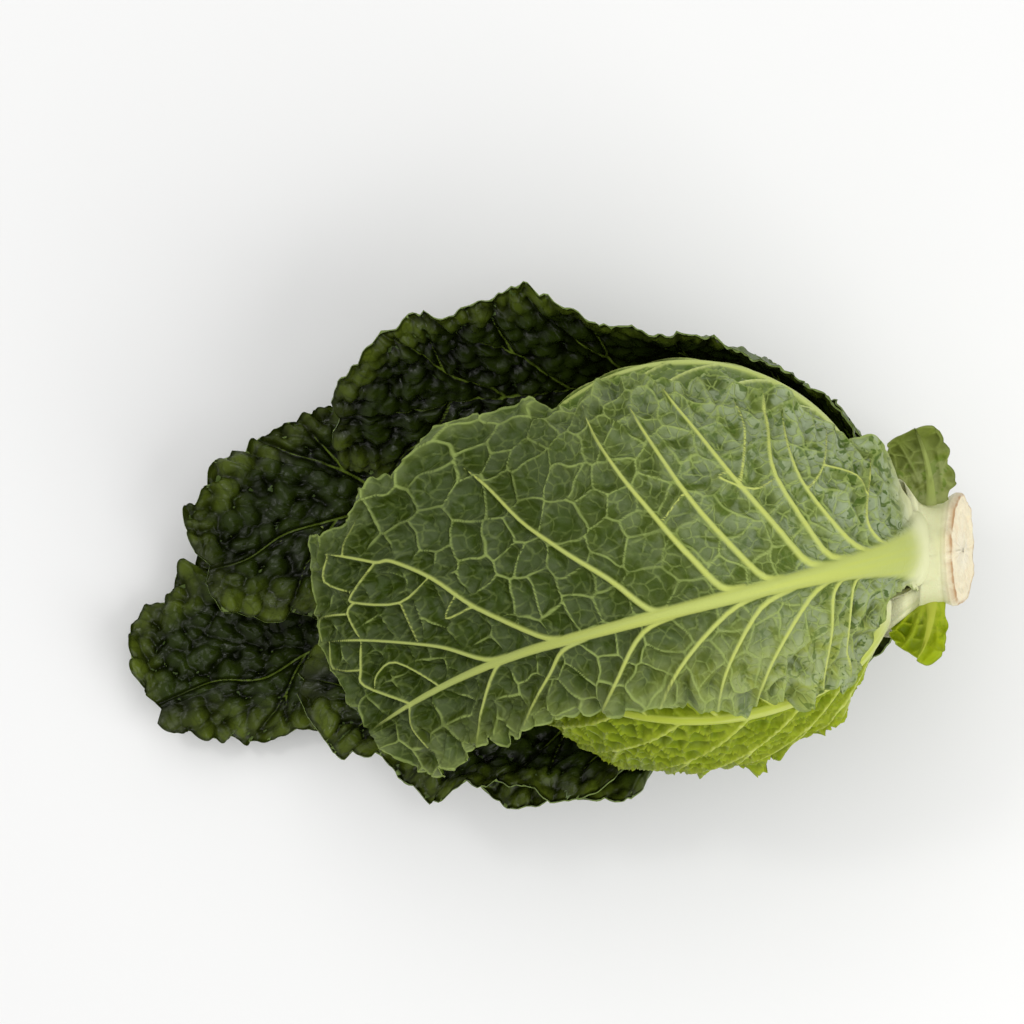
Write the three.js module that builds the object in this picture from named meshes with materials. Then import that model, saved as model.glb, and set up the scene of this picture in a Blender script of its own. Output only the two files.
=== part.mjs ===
// A savoy cabbage, cut and lying on its side: a dense heart, a cut stem, and wrapper
// leaves that grow from the stem, hug the head in layers and open past its top.
// Millimetres, +Z up. The stem points to +X, the opened leaves to -X.
// The leaves lie on balls round one head centre, so that no layer crosses the next.

import * as THREE from "three";
import { mergeVertices } from "three/addons/utils/BufferGeometryUtils.js";

// Head
const HEAD_X = 43;
const AXIS_HEIGHT = 82;
const LAYER_RADIUS = [53.5, 58, 62.5, 69.5, 77, 82.5];
const HEART_RADIUS = 47;
const HEART_LEAVES = 6;
const HEART_TURN = 2.4;
const HEART_STEP = 0.88;
const HEART_RISE = 3.2;
const HEART_COVER = [0.95, 1.12];
const HEART_WAVES = 7;
const HEART_WAVE = 0.07;
const HEART_LEAN = -0.37;
const HEART_SPLITS = [36, 22];

// Stem
const STEM_RADIUS = 16.5;
const STEM_CUT_RADIUS = 18.5;
const STEM_INNER_X = 98;
const STEM_NECK_X = 122;
const STEM_CUT_X = 135;
const STEM_NECK_LENGTH = 6;
const STEM_NECK_FLARE = 0.6;
const STEM_INNER_ROUND = [2, 4];
const STEM_BEVEL = 2.5;
const STEM_EDGE = 0.8;
const STEM_DIP_RADIUS = 0.55;
const STEM_DIP = 0.5;
const STEM_PITH_DIP = 0.2;
const STEM_SIDES = 32;
const STEM_CUT_TILT = 17;
const STEM_SHIFT_Y = 1.5;
const STEM_LOBES = [[5, 0.03, 1], [9, 0.015, 0]];

// Blades
const BLADE_THICKNESS = 0.9;
const STEM_GAP = 0.9;
const RIB_HALF_WIDTH = 5.5;
const RIB_TIP_HALF_WIDTH = 1.6;
const RIB_LARGEST_SHARE = 0.4;
const RIB_FADE = 0.75;
const SIDE_RIB = 0.5;
const BLISTER_ON_HEAD = 1.3;
const BLISTER_OPEN = 4;
const NET_SINK = 0.3;
const ROOMY_CELL = 9;
const TIP_START = 0.8;
const MARGIN_START = 0.55;
const FRILL_ON_HEAD = 0.35;
const WAVE_TURN = 1.9;
const SCALLOP_TURN = 2.6;
const SCALLOP_DEPTH = 0.035;
const REST_FLAT = 20;
const REST_ROUND = 38;

// How a blade leaves the head, in millimetres along it
const OPENING_START = -10;
const OPENING_LENGTH = 55;
const UNBEND_LENGTH = 8;
const FREE_SECTOR = 75;
const SPINE_STEP = 1;
const SPINE_SPARE = 1.1;

// Blade outlines: distance along the leaf and half width, as shares of length and width
const OUTLINES = {
  round: [
    [0, 0.28], [0.09, 0.36], [0.23, 0.6], [0.42, 0.88], [0.61, 1],
    [0.78, 0.93], [0.91, 0.7], [0.98, 0.4], [1.01, 0.12],
  ],
  blunt: [
    [0, 0.28], [0.08, 0.44], [0.22, 0.7], [0.4, 0.92], [0.6, 1],
    [0.79, 0.94], [0.93, 0.75], [1, 0.48], [1.01, 0.13],
  ],
  strap: [
    [0.08, 0.78], [0.14, 0.84], [0.25, 0.9], [0.42, 0.97], [0.6, 1],
    [0.78, 0.95], [0.92, 0.78], [0.99, 0.52], [1.01, 0.15],
  ],
  square: [
    [0, 0.2], [0.08, 0.4], [0.22, 0.7], [0.4, 0.92], [0.58, 1],
    [0.74, 0.92], [0.86, 0.77], [0.96, 0.64], [1.005, 0.13],
  ],
  waisted: [
    [0, 0.28], [0.11, 0.36], [0.2, 0.95], [0.36, 1], [0.5, 0.8],
    [0.66, 0.58], [0.82, 0.56], [0.96, 0.52], [1.005, 0.12],
  ],
};
// Where the rows of the outline start on the midrib, as shares of the length
const RIB_ROWS = [0, 0.06, 0.15, 0.28, 0.43, 0.59, 0.75, 0.89, 1];

const GREEN = {
  dark: 0x2c3d16,
  under: 0x7f9467,
  mid: 0x66803a,
  yellow: 0xa3b54a,
  pale: 0xb9c477,
  stem: 0xe3d8bc,
};

// Each leaf: its layer, its place round the stem axis (0 faces up, 90 faces +Y), the
// angle from the stem at which it leaves the head, and how it opens beyond that.
// bend, drift and spread are curvatures per millimetre, roll and heading are degrees,
// edgewise marks a short leaf that has rolled already where it leaves the stem.
const LEAVES = [
  {
    name: "front_leaf", layer: 4, fan: 0.5, azimuth: 4.3, heading: -4.7, leave: 124.2, open: 90,
    bend: 0.001, drift: -0.00315, roll: 0, spread: 0.005, wide: 84, narrow: 40,
    sector: [60, 62], ends: ["waisted", "square"], rows: 24, cells: 8,
    rib: 4.4, net: 1.7, frill: 3.4, phase: 0.4, colour: GREEN.under,
  },
  {
    name: "upper_left_leaf", layer: 3, fan: 0, azimuth: 122, heading: 0, leave: 96, open: 108,
    bend: 0.0003, drift: -0.0001, roll: 20, spread: 0.004, wide: 36, narrow: 46,
    sector: [56, 40], ends: ["round", "blunt"], rows: 18, cells: 6,
    rib: 2.2, net: 0, frill: 5, phase: 1.1, colour: GREEN.dark,
  },
  {
    name: "lower_left_leaf", layer: 3, fan: 0.6, azimuth: -135, heading: 0, leave: 96, open: 120,
    bend: 0.0003, drift: 0.0004, roll: -20, spread: 0.004, wide: 40, narrow: 30,
    sector: [40, 25], ends: ["round", "round"], rows: 18, cells: 6,
    rib: 2.2, net: 0, frill: 5, phase: 2.3, colour: GREEN.dark,
  },
  {
    name: "lower_side_leaf", layer: 3, fan: 0, azimuth: -47, heading: 0, leave: 138, open: 22,
    bend: 0, drift: 0, roll: 0, spread: 0.008, wide: 62, narrow: 62,
    sector: [57, 35], ends: ["round", "round"], rows: 18, cells: 4,
    rib: 2.4, net: 0, frill: 2.4, phase: 3.0, colour: GREEN.yellow,
  },
  {
    name: "upper_side_leaf", layer: 2, fan: 0, azimuth: 78, heading: 0, leave: 138, open: 22,
    bend: 0, drift: 0, roll: 0, spread: 0.008, wide: 62, narrow: 62,
    sector: [60, 70], ends: ["round", "round"], rows: 18, cells: 4,
    rib: 2.4, net: 0, frill: 2.4, phase: 4.4, colour: GREEN.mid,
  },
  {
    name: "back_upper_leaf", layer: 4, fan: 0, azimuth: 146, heading: 0, leave: 92, open: 164,
    bend: -0.0016, drift: 0.0014, roll: 34, spread: 0.005, wide: 32, narrow: 40,
    sector: [56, 33], ends: ["blunt", "blunt"], rows: 20, cells: 6,
    rib: 2.2, net: 0, frill: 5, phase: 5.2, colour: GREEN.dark,
  },
  {
    name: "back_lower_leaf", layer: 4, fan: 0.85, azimuth: -146, heading: 0, leave: 92, open: 86,
    bend: 0.0018, drift: 0.0005, roll: 0, spread: 0.003, wide: 51, narrow: 26,
    sector: [15, 18], ends: ["round", "round"], rows: 18, cells: 6,
    rib: 2.2, net: 0, frill: 5, phase: 0.9, colour: GREEN.dark,
  },
  {
    name: "under_leaf", layer: 5, rests: true, fan: 0, azimuth: 180, heading: 0, leave: 90, open: 184,
    bend: -0.0003, drift: 0.0015, roll: 0, spread: 0.0012, wide: 29, narrow: 52,
    sector: [60, 60], ends: ["blunt", "round"], rows: 20, cells: 6,
    rib: 2.4, net: 0, frill: 3.6, phase: 1.7, colour: GREEN.dark,
  },
  {
    name: "inner_lower_leaf", layer: 1, fan: 0, azimuth: -60, heading: 0, leave: 148, open: 10,
    bend: 0, drift: 0, roll: 0, spread: 0.012, wide: 58, narrow: 58,
    sector: [57, 57], ends: ["round", "round"], rows: 14, cells: 4,
    rib: 2.2, net: 0, frill: 1, phase: 2.9, colour: GREEN.yellow,
  },
  {
    name: "inner_upper_leaf", layer: 1, fan: 0, azimuth: 60, heading: 0, leave: 148, open: 10,
    bend: 0, drift: 0, roll: 0, spread: 0.012, wide: 58, narrow: 58,
    sector: [57, 57], ends: ["round", "round"], rows: 14, cells: 4,
    rib: 2.2, net: 0, frill: 1, phase: 3.7, colour: GREEN.yellow,
  },
  {
    name: "inner_under_leaf", layer: 1, fan: 0, azimuth: 180, heading: 0, leave: 148, open: 10,
    bend: 0, drift: 0, roll: 0, spread: 0.012, wide: 58, narrow: 58,
    sector: [57, 57], ends: ["round", "round"], rows: 14, cells: 4,
    rib: 2.2, net: 0, frill: 1, phase: 4.9, colour: GREEN.yellow,
  },
  {
    name: "heart_leaf_top", layer: 0, fan: 0, azimuth: 10, heading: 0, leave: 160, open: 4,
    bend: 0, drift: 0, roll: 0, spread: 0.016, wide: 52, narrow: 52,
    sector: [57, 57], ends: ["round", "round"], rows: 14, cells: 4,
    rib: 2, net: 0, frill: 0.6, phase: 0.2, colour: GREEN.pale,
  },
  {
    name: "heart_leaf_back", layer: 0, fan: 0, azimuth: 130, heading: 0, leave: 154, open: 4,
    bend: 0, drift: 0, roll: 0, spread: 0.016, wide: 52, narrow: 52,
    sector: [57, 57], ends: ["round", "round"], rows: 14, cells: 4,
    rib: 2, net: 0, frill: 0.6, phase: 1.9, colour: GREEN.pale,
  },
  {
    name: "heart_leaf_front", layer: 0, fan: 0, azimuth: -110, heading: 0, leave: 154, open: 4,
    bend: 0, drift: 0, roll: 0, spread: 0.016, wide: 52, narrow: 52,
    sector: [57, 57], ends: ["round", "round"], rows: 14, cells: 4,
    rib: 2, net: 0, frill: 0.6, phase: 3.3, colour: GREEN.pale,
  },
  {
    name: "upper_collar_leaf", layer: 5, fan: 0, azimuth: 70, heading: 12.2, leave: 12.3, open: 28,
    bend: 0.002, drift: -0.016, roll: -90, edgewise: true, spread: 0.012, wide: 7, narrow: 12,
    sector: [80, 80], ends: ["strap", "strap"], rows: 10, cells: 4,
    rib: 1, net: 0, frill: 2, phase: 0.7, colour: GREEN.mid,
  },
  {
    name: "lower_collar_leaf", layer: 5, fan: 0, azimuth: -68, heading: -12.2, leave: 12.3, open: 20,
    bend: 0.002, drift: 0.026, roll: 85, edgewise: true, spread: 0.012, wide: 12, narrow: 6,
    sector: [80, 80], ends: ["strap", "strap"], rows: 8, cells: 4,
    rib: 1, net: 0, frill: 1.6, phase: 2.1, colour: GREEN.yellow,
  },
];

const radians = THREE.MathUtils.degToRad;
const smooth = THREE.MathUtils.smoothstep;
const mix = THREE.MathUtils.lerp;

/** Value of a smooth curve through evenly spaced values, at share u of its length. */
function curveValue(values, u) {
  const place = THREE.MathUtils.clamp(u, 0, 1) * (values.length - 1);
  const k = Math.min(Math.floor(place), values.length - 2);
  const f = place - k;
  const before = values[Math.max(k - 1, 0)];
  const after = values[Math.min(k + 2, values.length - 1)];
  const [a, b] = [values[k], values[k + 1]];
  const slopeA = (b - before) / 2;
  const slopeB = (after - a) / 2;
  const f2 = f * f;
  const f3 = f2 * f;
  return (2 * f3 - 3 * f2 + 1) * a + (f3 - 2 * f2 + f) * slopeA
    + (3 * f2 - 2 * f3) * b + (f3 - f2) * slopeB;
}

/** Turns two unit vectors in their common plane: the first towards the second. */
function turn(first, second, angle) {
  const kept = first.clone();
  first.multiplyScalar(Math.cos(angle)).addScaledVector(second, Math.sin(angle));
  second.multiplyScalar(Math.cos(angle)).addScaledVector(kept, -Math.sin(angle));
}

/** The midrib line of a leaf: points with the tip, outward and side directions. */
function growSpine(leaf) {
  const radius = LAYER_RADIUS[leaf.layer];
  const start = Math.asin((STEM_RADIUS + STEM_GAP) / radius);
  const hug = radius * (radians(leaf.leave) - start);
  const length = hug + leaf.open;
  const azimuth = radians(leaf.azimuth);
  const out = new THREE.Vector3(0, Math.sin(azimuth), Math.cos(azimuth));
  const along = new THREE.Vector3(1, 0, 0);
  const normal = along.clone().multiplyScalar(Math.cos(start)).addScaledVector(out, Math.sin(start));
  const tip = along.clone().multiplyScalar(-Math.sin(start)).addScaledVector(out, Math.cos(start));
  const side = new THREE.Vector3().crossVectors(tip, normal);
  const point = new THREE.Vector3(HEAD_X, 0, AXIS_HEIGHT).addScaledVector(normal, radius);
  if (leaf.edgewise) turn(normal, side, radians(leaf.roll));
  turn(tip, side, radians(leaf.heading));
  const rollLength = Math.min(OPENING_LENGTH, leaf.open / 2);
  const samples = [];
  const count = Math.ceil(length * SPINE_SPARE / SPINE_STEP);
  for (let i = 0; i <= count; i += 1) {
    samples.push({ point: point.clone(), tip: tip.clone(), normal: normal.clone(), side: side.clone() });
    const s = i * SPINE_STEP;
    const rolling = !leaf.edgewise && s > hug && s < hug + rollLength;
    const rollRate = rolling ? radians(leaf.roll) / rollLength : 0;
    const before = tip.clone();
    const bend = mix(-1 / radius, leaf.bend, smooth(s, hug, hug + UNBEND_LENGTH));
    turn(tip, normal, bend * SPINE_STEP);
    turn(tip, side, leaf.drift * SPINE_STEP);
    turn(normal, side, rollRate * SPINE_STEP);
    point.addScaledVector(before.add(tip), SPINE_STEP / 2);
  }
  return { samples, hug, length, radius };
}

/** How far a blade has opened: 0 on the head, 1 well past it. */
function openness(spine, s) {
  return smooth(s, spine.hug + OPENING_START, spine.hug + OPENING_LENGTH);
}

/** Curvature across a blade: the ball's on the head, its own past it. */
function bladeCurve(spine, leaf, s) {
  return mix(1 / spine.radius, leaf.spread, openness(spine, s));
}

/** Point and outward direction of a blade, s along the midrib and t across it. */
function bladePoint(spine, leaf, s, t) {
  const place = THREE.MathUtils.clamp(s / SPINE_STEP, 0, spine.samples.length - 1.001);
  const k = Math.floor(place);
  const f = place - k;
  const [a, b] = [spine.samples[k], spine.samples[k + 1]];
  const point = a.point.clone().lerp(b.point, f);
  const normal = a.normal.clone().lerp(b.normal, f).normalize();
  const side = a.side.clone().lerp(b.side, f).normalize();
  const curve = bladeCurve(spine, leaf, s);
  const angle = curve * t;
  point.addScaledVector(side, Math.sin(angle) / curve);
  point.addScaledVector(normal, -(1 - Math.cos(angle)) / curve);
  const outward = normal.multiplyScalar(Math.cos(angle)).addScaledVector(side, Math.sin(angle));
  return { point, outward, opened: openness(spine, s) };
}

/** The half width at which a blade would leave its own sector round the stem axis. */
function sectorLimit(spine, leaf, s, side) {
  const place = Math.min(Math.max(Math.round(s / SPINE_STEP), 0), spine.samples.length - 1);
  const { point } = spine.samples[place];
  const away = Math.hypot(point.y, point.z - AXIS_HEIGHT);
  const curve = bladeCurve(spine, leaf, s);
  const free = leaf.fan * openness(spine, s);
  const angle = radians(mix(leaf.sector[side], FREE_SECTOR, free));
  return Math.atan(Math.tan(angle) * away * curve) / curve;
}

/** A closed thin body from two grids of points, both split into the same triangles. */
function sheetGeometry(outer, inner) {
  const rows = outer.length - 1;
  const columns = outer[0].length - 1;
  const positions = [];
  for (const grid of [outer, inner]) {
    for (const row of grid) {
      for (const p of row) positions.push(p.x, p.y, p.z);
    }
  }
  const faceSize = (rows + 1) * (columns + 1);
  const at = (i, j, face) => face * faceSize + i * (columns + 1) + j;
  const index = [];
  for (let i = 0; i < rows; i += 1) {
    for (let j = 0; j < columns; j += 1) {
      const straight = (i + j) % 2 === 0;
      for (const face of [0, 1]) {
        const [a, b] = [at(i, j, face), at(i + 1, j, face)];
        const [c, d] = [at(i + 1, j + 1, face), at(i, j + 1, face)];
        const pair = straight ? [[a, b, c], [a, c, d]] : [[a, b, d], [b, c, d]];
        for (const tri of pair) index.push(...(face === 1 ? tri : tri.reverse()));
      }
    }
  }
  const rim = [];
  for (let j = 0; j < columns; j += 1) rim.push([0, j]);
  for (let i = 0; i < rows; i += 1) rim.push([i, columns]);
  for (let j = columns; j > 0; j -= 1) rim.push([rows, j]);
  for (let i = rows; i > 0; i -= 1) rim.push([i, 0]);
  rim.forEach(([i, j], k) => {
    const [i2, j2] = rim[(k + 1) % rim.length];
    const [a, b, c, d] = [at(i, j, 0), at(i2, j2, 0), at(i2, j2, 1), at(i, j, 1)];
    index.push(a, c, b, a, d, c);
  });
  const geometry = new THREE.BufferGeometry();
  geometry.setAttribute("position", new THREE.Float32BufferAttribute(positions, 3));
  geometry.setIndex(index);
  return geometry;
}

/** Where a grid line of a blade lies: its place along and across, and its share v. */
function bladePlace(leaf, spine, u, row, column) {
  const half = column > 0 ? 1 : 0;
  const outline = OUTLINES[leaf.ends[half]];
  const width = half ? leaf.wide : leaf.narrow;
  const scallop = 1 + SCALLOP_DEPTH * Math.sin(row * SCALLOP_TURN + leaf.phase);
  const share = curveValue(outline.map(([, t]) => t), u) * scallop;
  const marginS = spine.length * curveValue(outline.map(([s]) => s), u);
  const marginT = Math.min(width * share, sectorLimit(spine, leaf, marginS, half));
  const ribWidth = mix(RIB_HALF_WIDTH, RIB_TIP_HALF_WIDTH, Math.sqrt(u));
  const ribEdge = Math.min(ribWidth, marginT * RIB_LARGEST_SHARE);
  const cell = Math.abs(column) - 1;
  const reach = cell < 0 ? 0 : mix(ribEdge, marginT, cell / leaf.cells);
  const v = reach / marginT;
  const s = mix(spine.length * curveValue(RIB_ROWS, u), marginS, v);
  return { s, t: Math.sign(column) * reach, v, half, cell, marginT };
}

/** How far the blade's middle stands out there: margin wave, raised net and blisters. */
function bladeRelief(leaf, spine, u, row, place, opened) {
  const { s, t, v, half, cell, marginT } = place;
  const edge = Math.max(0, (v - MARGIN_START) / (1 - MARGIN_START)) ** 2;
  const frill = leaf.frill * mix(FRILL_ON_HEAD, 1, opened) * (1 - u ** 4);
  const wave = frill * edge * Math.sin(row * WAVE_TURN + leaf.phase + half * 2);
  const onNet = row % 2 === 0 && cell % 2 === 0;
  const inCell = row % 2 === 1 && cell % 2 === 1 && cell > 0;
  const raised = onNet ? leaf.net : 0;
  const sunk = inCell ? mix(BLISTER_ON_HEAD, BLISTER_OPEN, opened) + leaf.net * NET_SINK : 0;
  const offRest = leaf.rests ? smooth(Math.hypot(s - spine.hug, t), REST_FLAT, REST_ROUND) : 1;
  const cellWidth = marginT / leaf.cells;
  const room = Math.min(1, cellWidth / ROOMY_CELL) * (1 - smooth(u, TIP_START, 1)) * offRest;
  return wave + (raised - sunk) * room;
}

/** A leaf blade with its raised midrib, side ribs, blisters and waved margin. */
function leafGeometry(leaf) {
  const spine = growSpine(leaf);
  const perSide = leaf.cells + 1;
  const outer = [];
  const inner = [];
  for (let row = 0; row <= leaf.rows; row += 1) {
    const u = row / leaf.rows;
    const outerRow = [];
    const innerRow = [];
    for (let column = -perSide; column <= perSide; column += 1) {
      const place = bladePlace(leaf, spine, u, row, column);
      const { point, outward, opened } = bladePoint(spine, leaf, place.s, place.t);
      const middle = bladeRelief(leaf, spine, u, row, place, opened);
      const midrib = place.cell < 0 ? leaf.rib * (1 - RIB_FADE * u) : 0;
      const sideRib = row % 2 === 0 && place.cell >= 0 ? SIDE_RIB * (1 - place.v) : 0;
      const skin = middle + BLADE_THICKNESS / 2 + midrib + sideRib;
      const high = point.clone().addScaledVector(outward, skin);
      const low = point.clone().addScaledVector(outward, middle - BLADE_THICKNESS / 2);
      high.z = Math.max(high.z, 0);
      low.z = Math.max(low.z, high.z < BLADE_THICKNESS ? high.z + BLADE_THICKNESS : 0);
      outerRow.push(high);
      innerRow.push(low);
    }
    outer.push(outerRow);
    inner.push(innerRow);
  }
  return sheetGeometry(outer, inner);
}

/** A geometry with only shared positions, ready to be reshaped. */
function bareGeometry(geometry) {
  geometry.deleteAttribute("normal");
  geometry.deleteAttribute("uv");
  return mergeVertices(geometry, 1e-4);
}

/** The dense heart: a ball whose skin steps up where its tight leaves overlap. */
function heartGeometry() {
  const sphere = new THREE.SphereGeometry(1, ...HEART_SPLITS);
  sphere.rotateZ(Math.PI / 2);
  const ball = bareGeometry(sphere);
  const position = ball.getAttribute("position");
  const point = new THREE.Vector3();
  const centre = new THREE.Vector3();
  for (let k = 0; k < position.count; k += 1) {
    point.fromBufferAttribute(position, k).normalize();
    const round = Math.atan2(point.y, point.z);
    let raised = 0;
    for (let n = 0; n < HEART_LEAVES; n += 1) {
      centre.set(HEART_LEAN, Math.sin(n * HEART_TURN), Math.cos(n * HEART_TURN)).normalize();
      const away = point.angleTo(centre) + HEART_WAVE * Math.sin(HEART_WAVES * round + n);
      raised += HEART_STEP * (1 - smooth(away, ...HEART_COVER));
    }
    const radius = HEART_RADIUS + Math.min(raised, HEART_RISE);
    position.setXYZ(k, HEAD_X + radius * point.x, radius * point.y, AXIS_HEIGHT + radius * point.z);
  }
  return ball;
}

/** The stem: a round stub inside the leaf bases that ends in the lobed, slanted cut. */
function stemGeometry() {
  const [innerInset, innerLength] = STEM_INNER_ROUND;
  const profile = [
    [0, STEM_INNER_X],
    [STEM_RADIUS - innerInset, STEM_INNER_X],
    [STEM_RADIUS, STEM_INNER_X + innerLength],
    [STEM_RADIUS, STEM_NECK_X],
    [STEM_RADIUS + STEM_NECK_FLARE, STEM_NECK_X + STEM_NECK_LENGTH],
    [STEM_CUT_RADIUS, STEM_CUT_X - STEM_BEVEL],
    [STEM_CUT_RADIUS - STEM_EDGE, STEM_CUT_X],
    [STEM_CUT_RADIUS * STEM_DIP_RADIUS, STEM_CUT_X - STEM_DIP],
    [0, STEM_CUT_X - STEM_PITH_DIP],
  ].map(([radius, x]) => new THREE.Vector2(radius, x));
  const lathe = new THREE.LatheGeometry(profile, STEM_SIDES);
  lathe.rotateZ(-Math.PI / 2);
  const stem = bareGeometry(lathe);
  const position = stem.getAttribute("position");
  const slant = Math.tan(radians(STEM_CUT_TILT));
  for (let k = 0; k < position.count; k += 1) {
    const [x, y, z] = [position.getX(k), position.getY(k), position.getZ(k)];
    const round = Math.atan2(y, z);
    const free = smooth(x, STEM_NECK_X - 2, STEM_CUT_X);
    let lobed = 1;
    for (const [count, depth, start] of STEM_LOBES) lobed += free * depth * Math.sin(count * round + start);
    position.setXYZ(k, x - free * z * slant, y * lobed + STEM_SHIFT_Y * free, AXIS_HEIGHT + z * lobed);
  }
  return stem;
}

/** A named piece with its own colour. */
function piece(name, geometry, colour, roughness = 0.55) {
  geometry.computeVertexNormals();
  const material = new THREE.MeshStandardMaterial({ color: colour, roughness, metalness: 0 });
  const mesh = new THREE.Mesh(geometry, material);
  mesh.name = name;
  return mesh;
}

const cabbage = new THREE.Group();
cabbage.add(piece("cut_stem", stemGeometry(), GREEN.stem, 0.8));
cabbage.add(piece("heart", heartGeometry(), GREEN.pale));
for (const leaf of LEAVES) {
  cabbage.add(piece(leaf.name, leafGeometry(leaf), leaf.colour));
}

// The origin is the middle of the whole plant's box, on the surface it lies on
const box = new THREE.Box3().setFromObject(cabbage);
cabbage.position.set(-(box.min.x + box.max.x) / 2, -(box.min.y + box.max.y) / 2, -box.min.z);

export default cabbage;
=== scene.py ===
"""A savoy cabbage lying on its side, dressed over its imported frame.

Lengths are in millimetres in the frame in which the plant grows: the stem axis runs
along +X through the middle of the head. They become metres when a mesh is made.
"""

from __future__ import annotations

import logging
import math
from collections.abc import Iterator
from dataclasses import dataclass, field, replace
from enum import Enum

import bpy
import numpy as np
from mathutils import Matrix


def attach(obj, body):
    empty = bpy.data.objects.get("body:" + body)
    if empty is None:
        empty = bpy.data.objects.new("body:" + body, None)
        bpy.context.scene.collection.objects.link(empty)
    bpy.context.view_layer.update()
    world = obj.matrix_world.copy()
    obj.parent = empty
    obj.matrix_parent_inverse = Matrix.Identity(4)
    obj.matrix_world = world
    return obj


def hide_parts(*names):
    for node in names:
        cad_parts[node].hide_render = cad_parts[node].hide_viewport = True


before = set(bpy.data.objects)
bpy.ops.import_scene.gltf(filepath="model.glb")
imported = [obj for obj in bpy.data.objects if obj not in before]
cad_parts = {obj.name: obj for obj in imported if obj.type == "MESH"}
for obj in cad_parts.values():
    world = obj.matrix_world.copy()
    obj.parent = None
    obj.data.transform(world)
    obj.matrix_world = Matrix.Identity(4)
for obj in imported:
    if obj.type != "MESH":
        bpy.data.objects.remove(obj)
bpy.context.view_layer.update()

log = logging.getLogger("savoy_cabbage")

# Placing: growing millimetres to the frame's metres
METRE = 0.001
FRAME_SHIFT = np.array([1.2788, -2.7313, 0.0])

# Middle of the head, and the radius of the ball that each layer of leaves hugs
HEAD = np.array([43.0, 0.0, 82.0])
LAYER_RADIUS = (53.5, 58.0, 62.5, 69.5, 77.0, 82.5)

# Stem, and its gap to the leaves' roots
STEM_RADIUS = 16.5
STEM_GAP = 0.9

# Part of the stem's outline that is the sleeve over the leaf roots
SLEEVE_PART = 3

# Thickness of a blade, and of its rim
BLADE_THICKNESS = 0.9
RIM_THICKNESS = 0.55

# Midrib: half widths at its root and tip, how much lower and thinner it gets, how far its
# foot spreads, and the height of a midrib that has the full width
RIB_HALF_WIDTH = 5.5
RIB_TIP_HALF_WIDTH = 1.6
RIB_FADE = 0.75
RIB_THINNING = 0.6
FOOT_LENGTH = 80.0
FOOT_SHARE = 0.85
FULL_RIB = 2.2

# Waves of the margin: where they start, how strong they are on the head, how fast they
# follow one another, and the scallops of the outline
MARGIN_START = 0.55
FRILL_ON_HEAD = 0.35
WAVE_TURN = 1.9
SCALLOP_TURN = 2.6
SCALLOP_DEPTH = 0.035

# The spot that a resting leaf lies on, flat up to one distance and full again at another
REST_FLAT = 20.0
REST_ROUND = 38.0

# Root: its width as a share of the blade's, how deep and how far along it sinks in, the
# midrib's samples before it, how far out the relief is full, in millimetres and at most
# as a share of the leaf, and what share of that is bare
ROOT_WIDTH = 0.28
ROOT_DEPTH = 5.0
ROOT_SHARE = 0.05
ROOT_SAMPLES = 8
ROOT_REACH = 34.0
ROOT_PART = 0.35
ROOT_BARE = 0.18

# How far past the tip a midrib is followed, as a share of its length
SPINE_SPARE = 1.1

# How a blade leaves the head, in millimetres along it
OPENING_START = -10.0
OPENING_LENGTH = 55.0
UNBEND_LENGTH = 8.0

# Half of the angle that an open blade may fill round the stem axis, in degrees
FREE_SECTOR = 75.0

# Radius of the smallest and the largest bubble, as shares of their spacing
SMALL_BUBBLE = 0.46
LARGE_BUBBLE = 0.74

# How much smaller the bubbles are that fill the spaces between
FILLING = 0.62

# How far the net is drawn out of shape, and over what length, coarsely and finely
WARP = 1.6
WARP_LENGTH = 9.0
FINE_WARP = 0.7
FINE_WARP_LENGTH = 4.0

# Domes between the veins: how far in from a cell's edge they rise, as a share of the
# cell, how high they are, and how much more by chance
DOME_RISE = 0.46
DOME_HEIGHT = 0.72
DOME_CHANCE = 0.5

# The same for the lumps on them
LUMP_RISE = 0.5
LUMP_HEIGHT = 0.5
LUMP_CHANCE = 0.8

# Distances from a vein, in millimetres, between which bubbles and lumps grow to their full
# height, and what share of it lumps have on the head
BUBBLE_EDGE = (-1.0, 1.6)
LUMP_EDGE = (0.4, 2.6)
LUMPS_ON_HEAD = 0.5

# Half width of a blade that has the full relief
FULL_RELIEF = 14.0

# Where along the leaf domes start to push the tip outward
TIP_START = 0.86

# Ruffles of the margin: length of the coarse and of the fine ones, strength of the fine
# ones, and length and middle strength of the curl
RUFFLE_LENGTH = 7.5
FINE_RUFFLE_LENGTH = 3.4
FINE_RUFFLE = 0.5
CURL_LENGTH = 16.0
CURL_SHARE = 0.6

# Uneven strength of the net: its middle, how far it swings, and over what length
NET_STRENGTH = 0.55
NET_SWING = 0.45
NET_LENGTH = 14.0

# Lobes of the margin: length of the coarse and of the fine ones, strength of the fine
# ones, how far away on the random sheet they are read, how blunt the coarse ones are, and
# half width of a blade that has them in full
LOBE_LENGTH = 8.0
FINE_LOBE_LENGTH = 3.6
FINE_LOBE = 0.6
FINE_LANE = 57.0
LOBE_BLUNTNESS = 0.7
FULL_LOBES = 20.0

# Heights of domes and lumps, as shares, that leave the blade or its margin where it is
LEVEL_DOME = 0.42
LEVEL_LUMP = 0.4
LEVEL_PUSH = 0.35

# How far in from the margin its colour, the push of the domes and its thinning reach
RIM_REACH = 14.0
PUSH_REACH = 7.0
RIM_TAPER = 2.0

# Millimetres to one unit of the map that the materials read
MAP_UNIT = 100.0

# Width of the finest net's cells, in units of that map
FINE_CELL = 0.042

# Half width of the midrib's line on an upper face, at its root and its tip, and how much
# thinner the side veins look there
INNER_LINE = 1.1
INNER_LINE_TIP = 0.22
INNER_VEIN = 1.25

# Short straight pieces for each piece of a vein's path
VEIN_STEPS = 4

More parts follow.
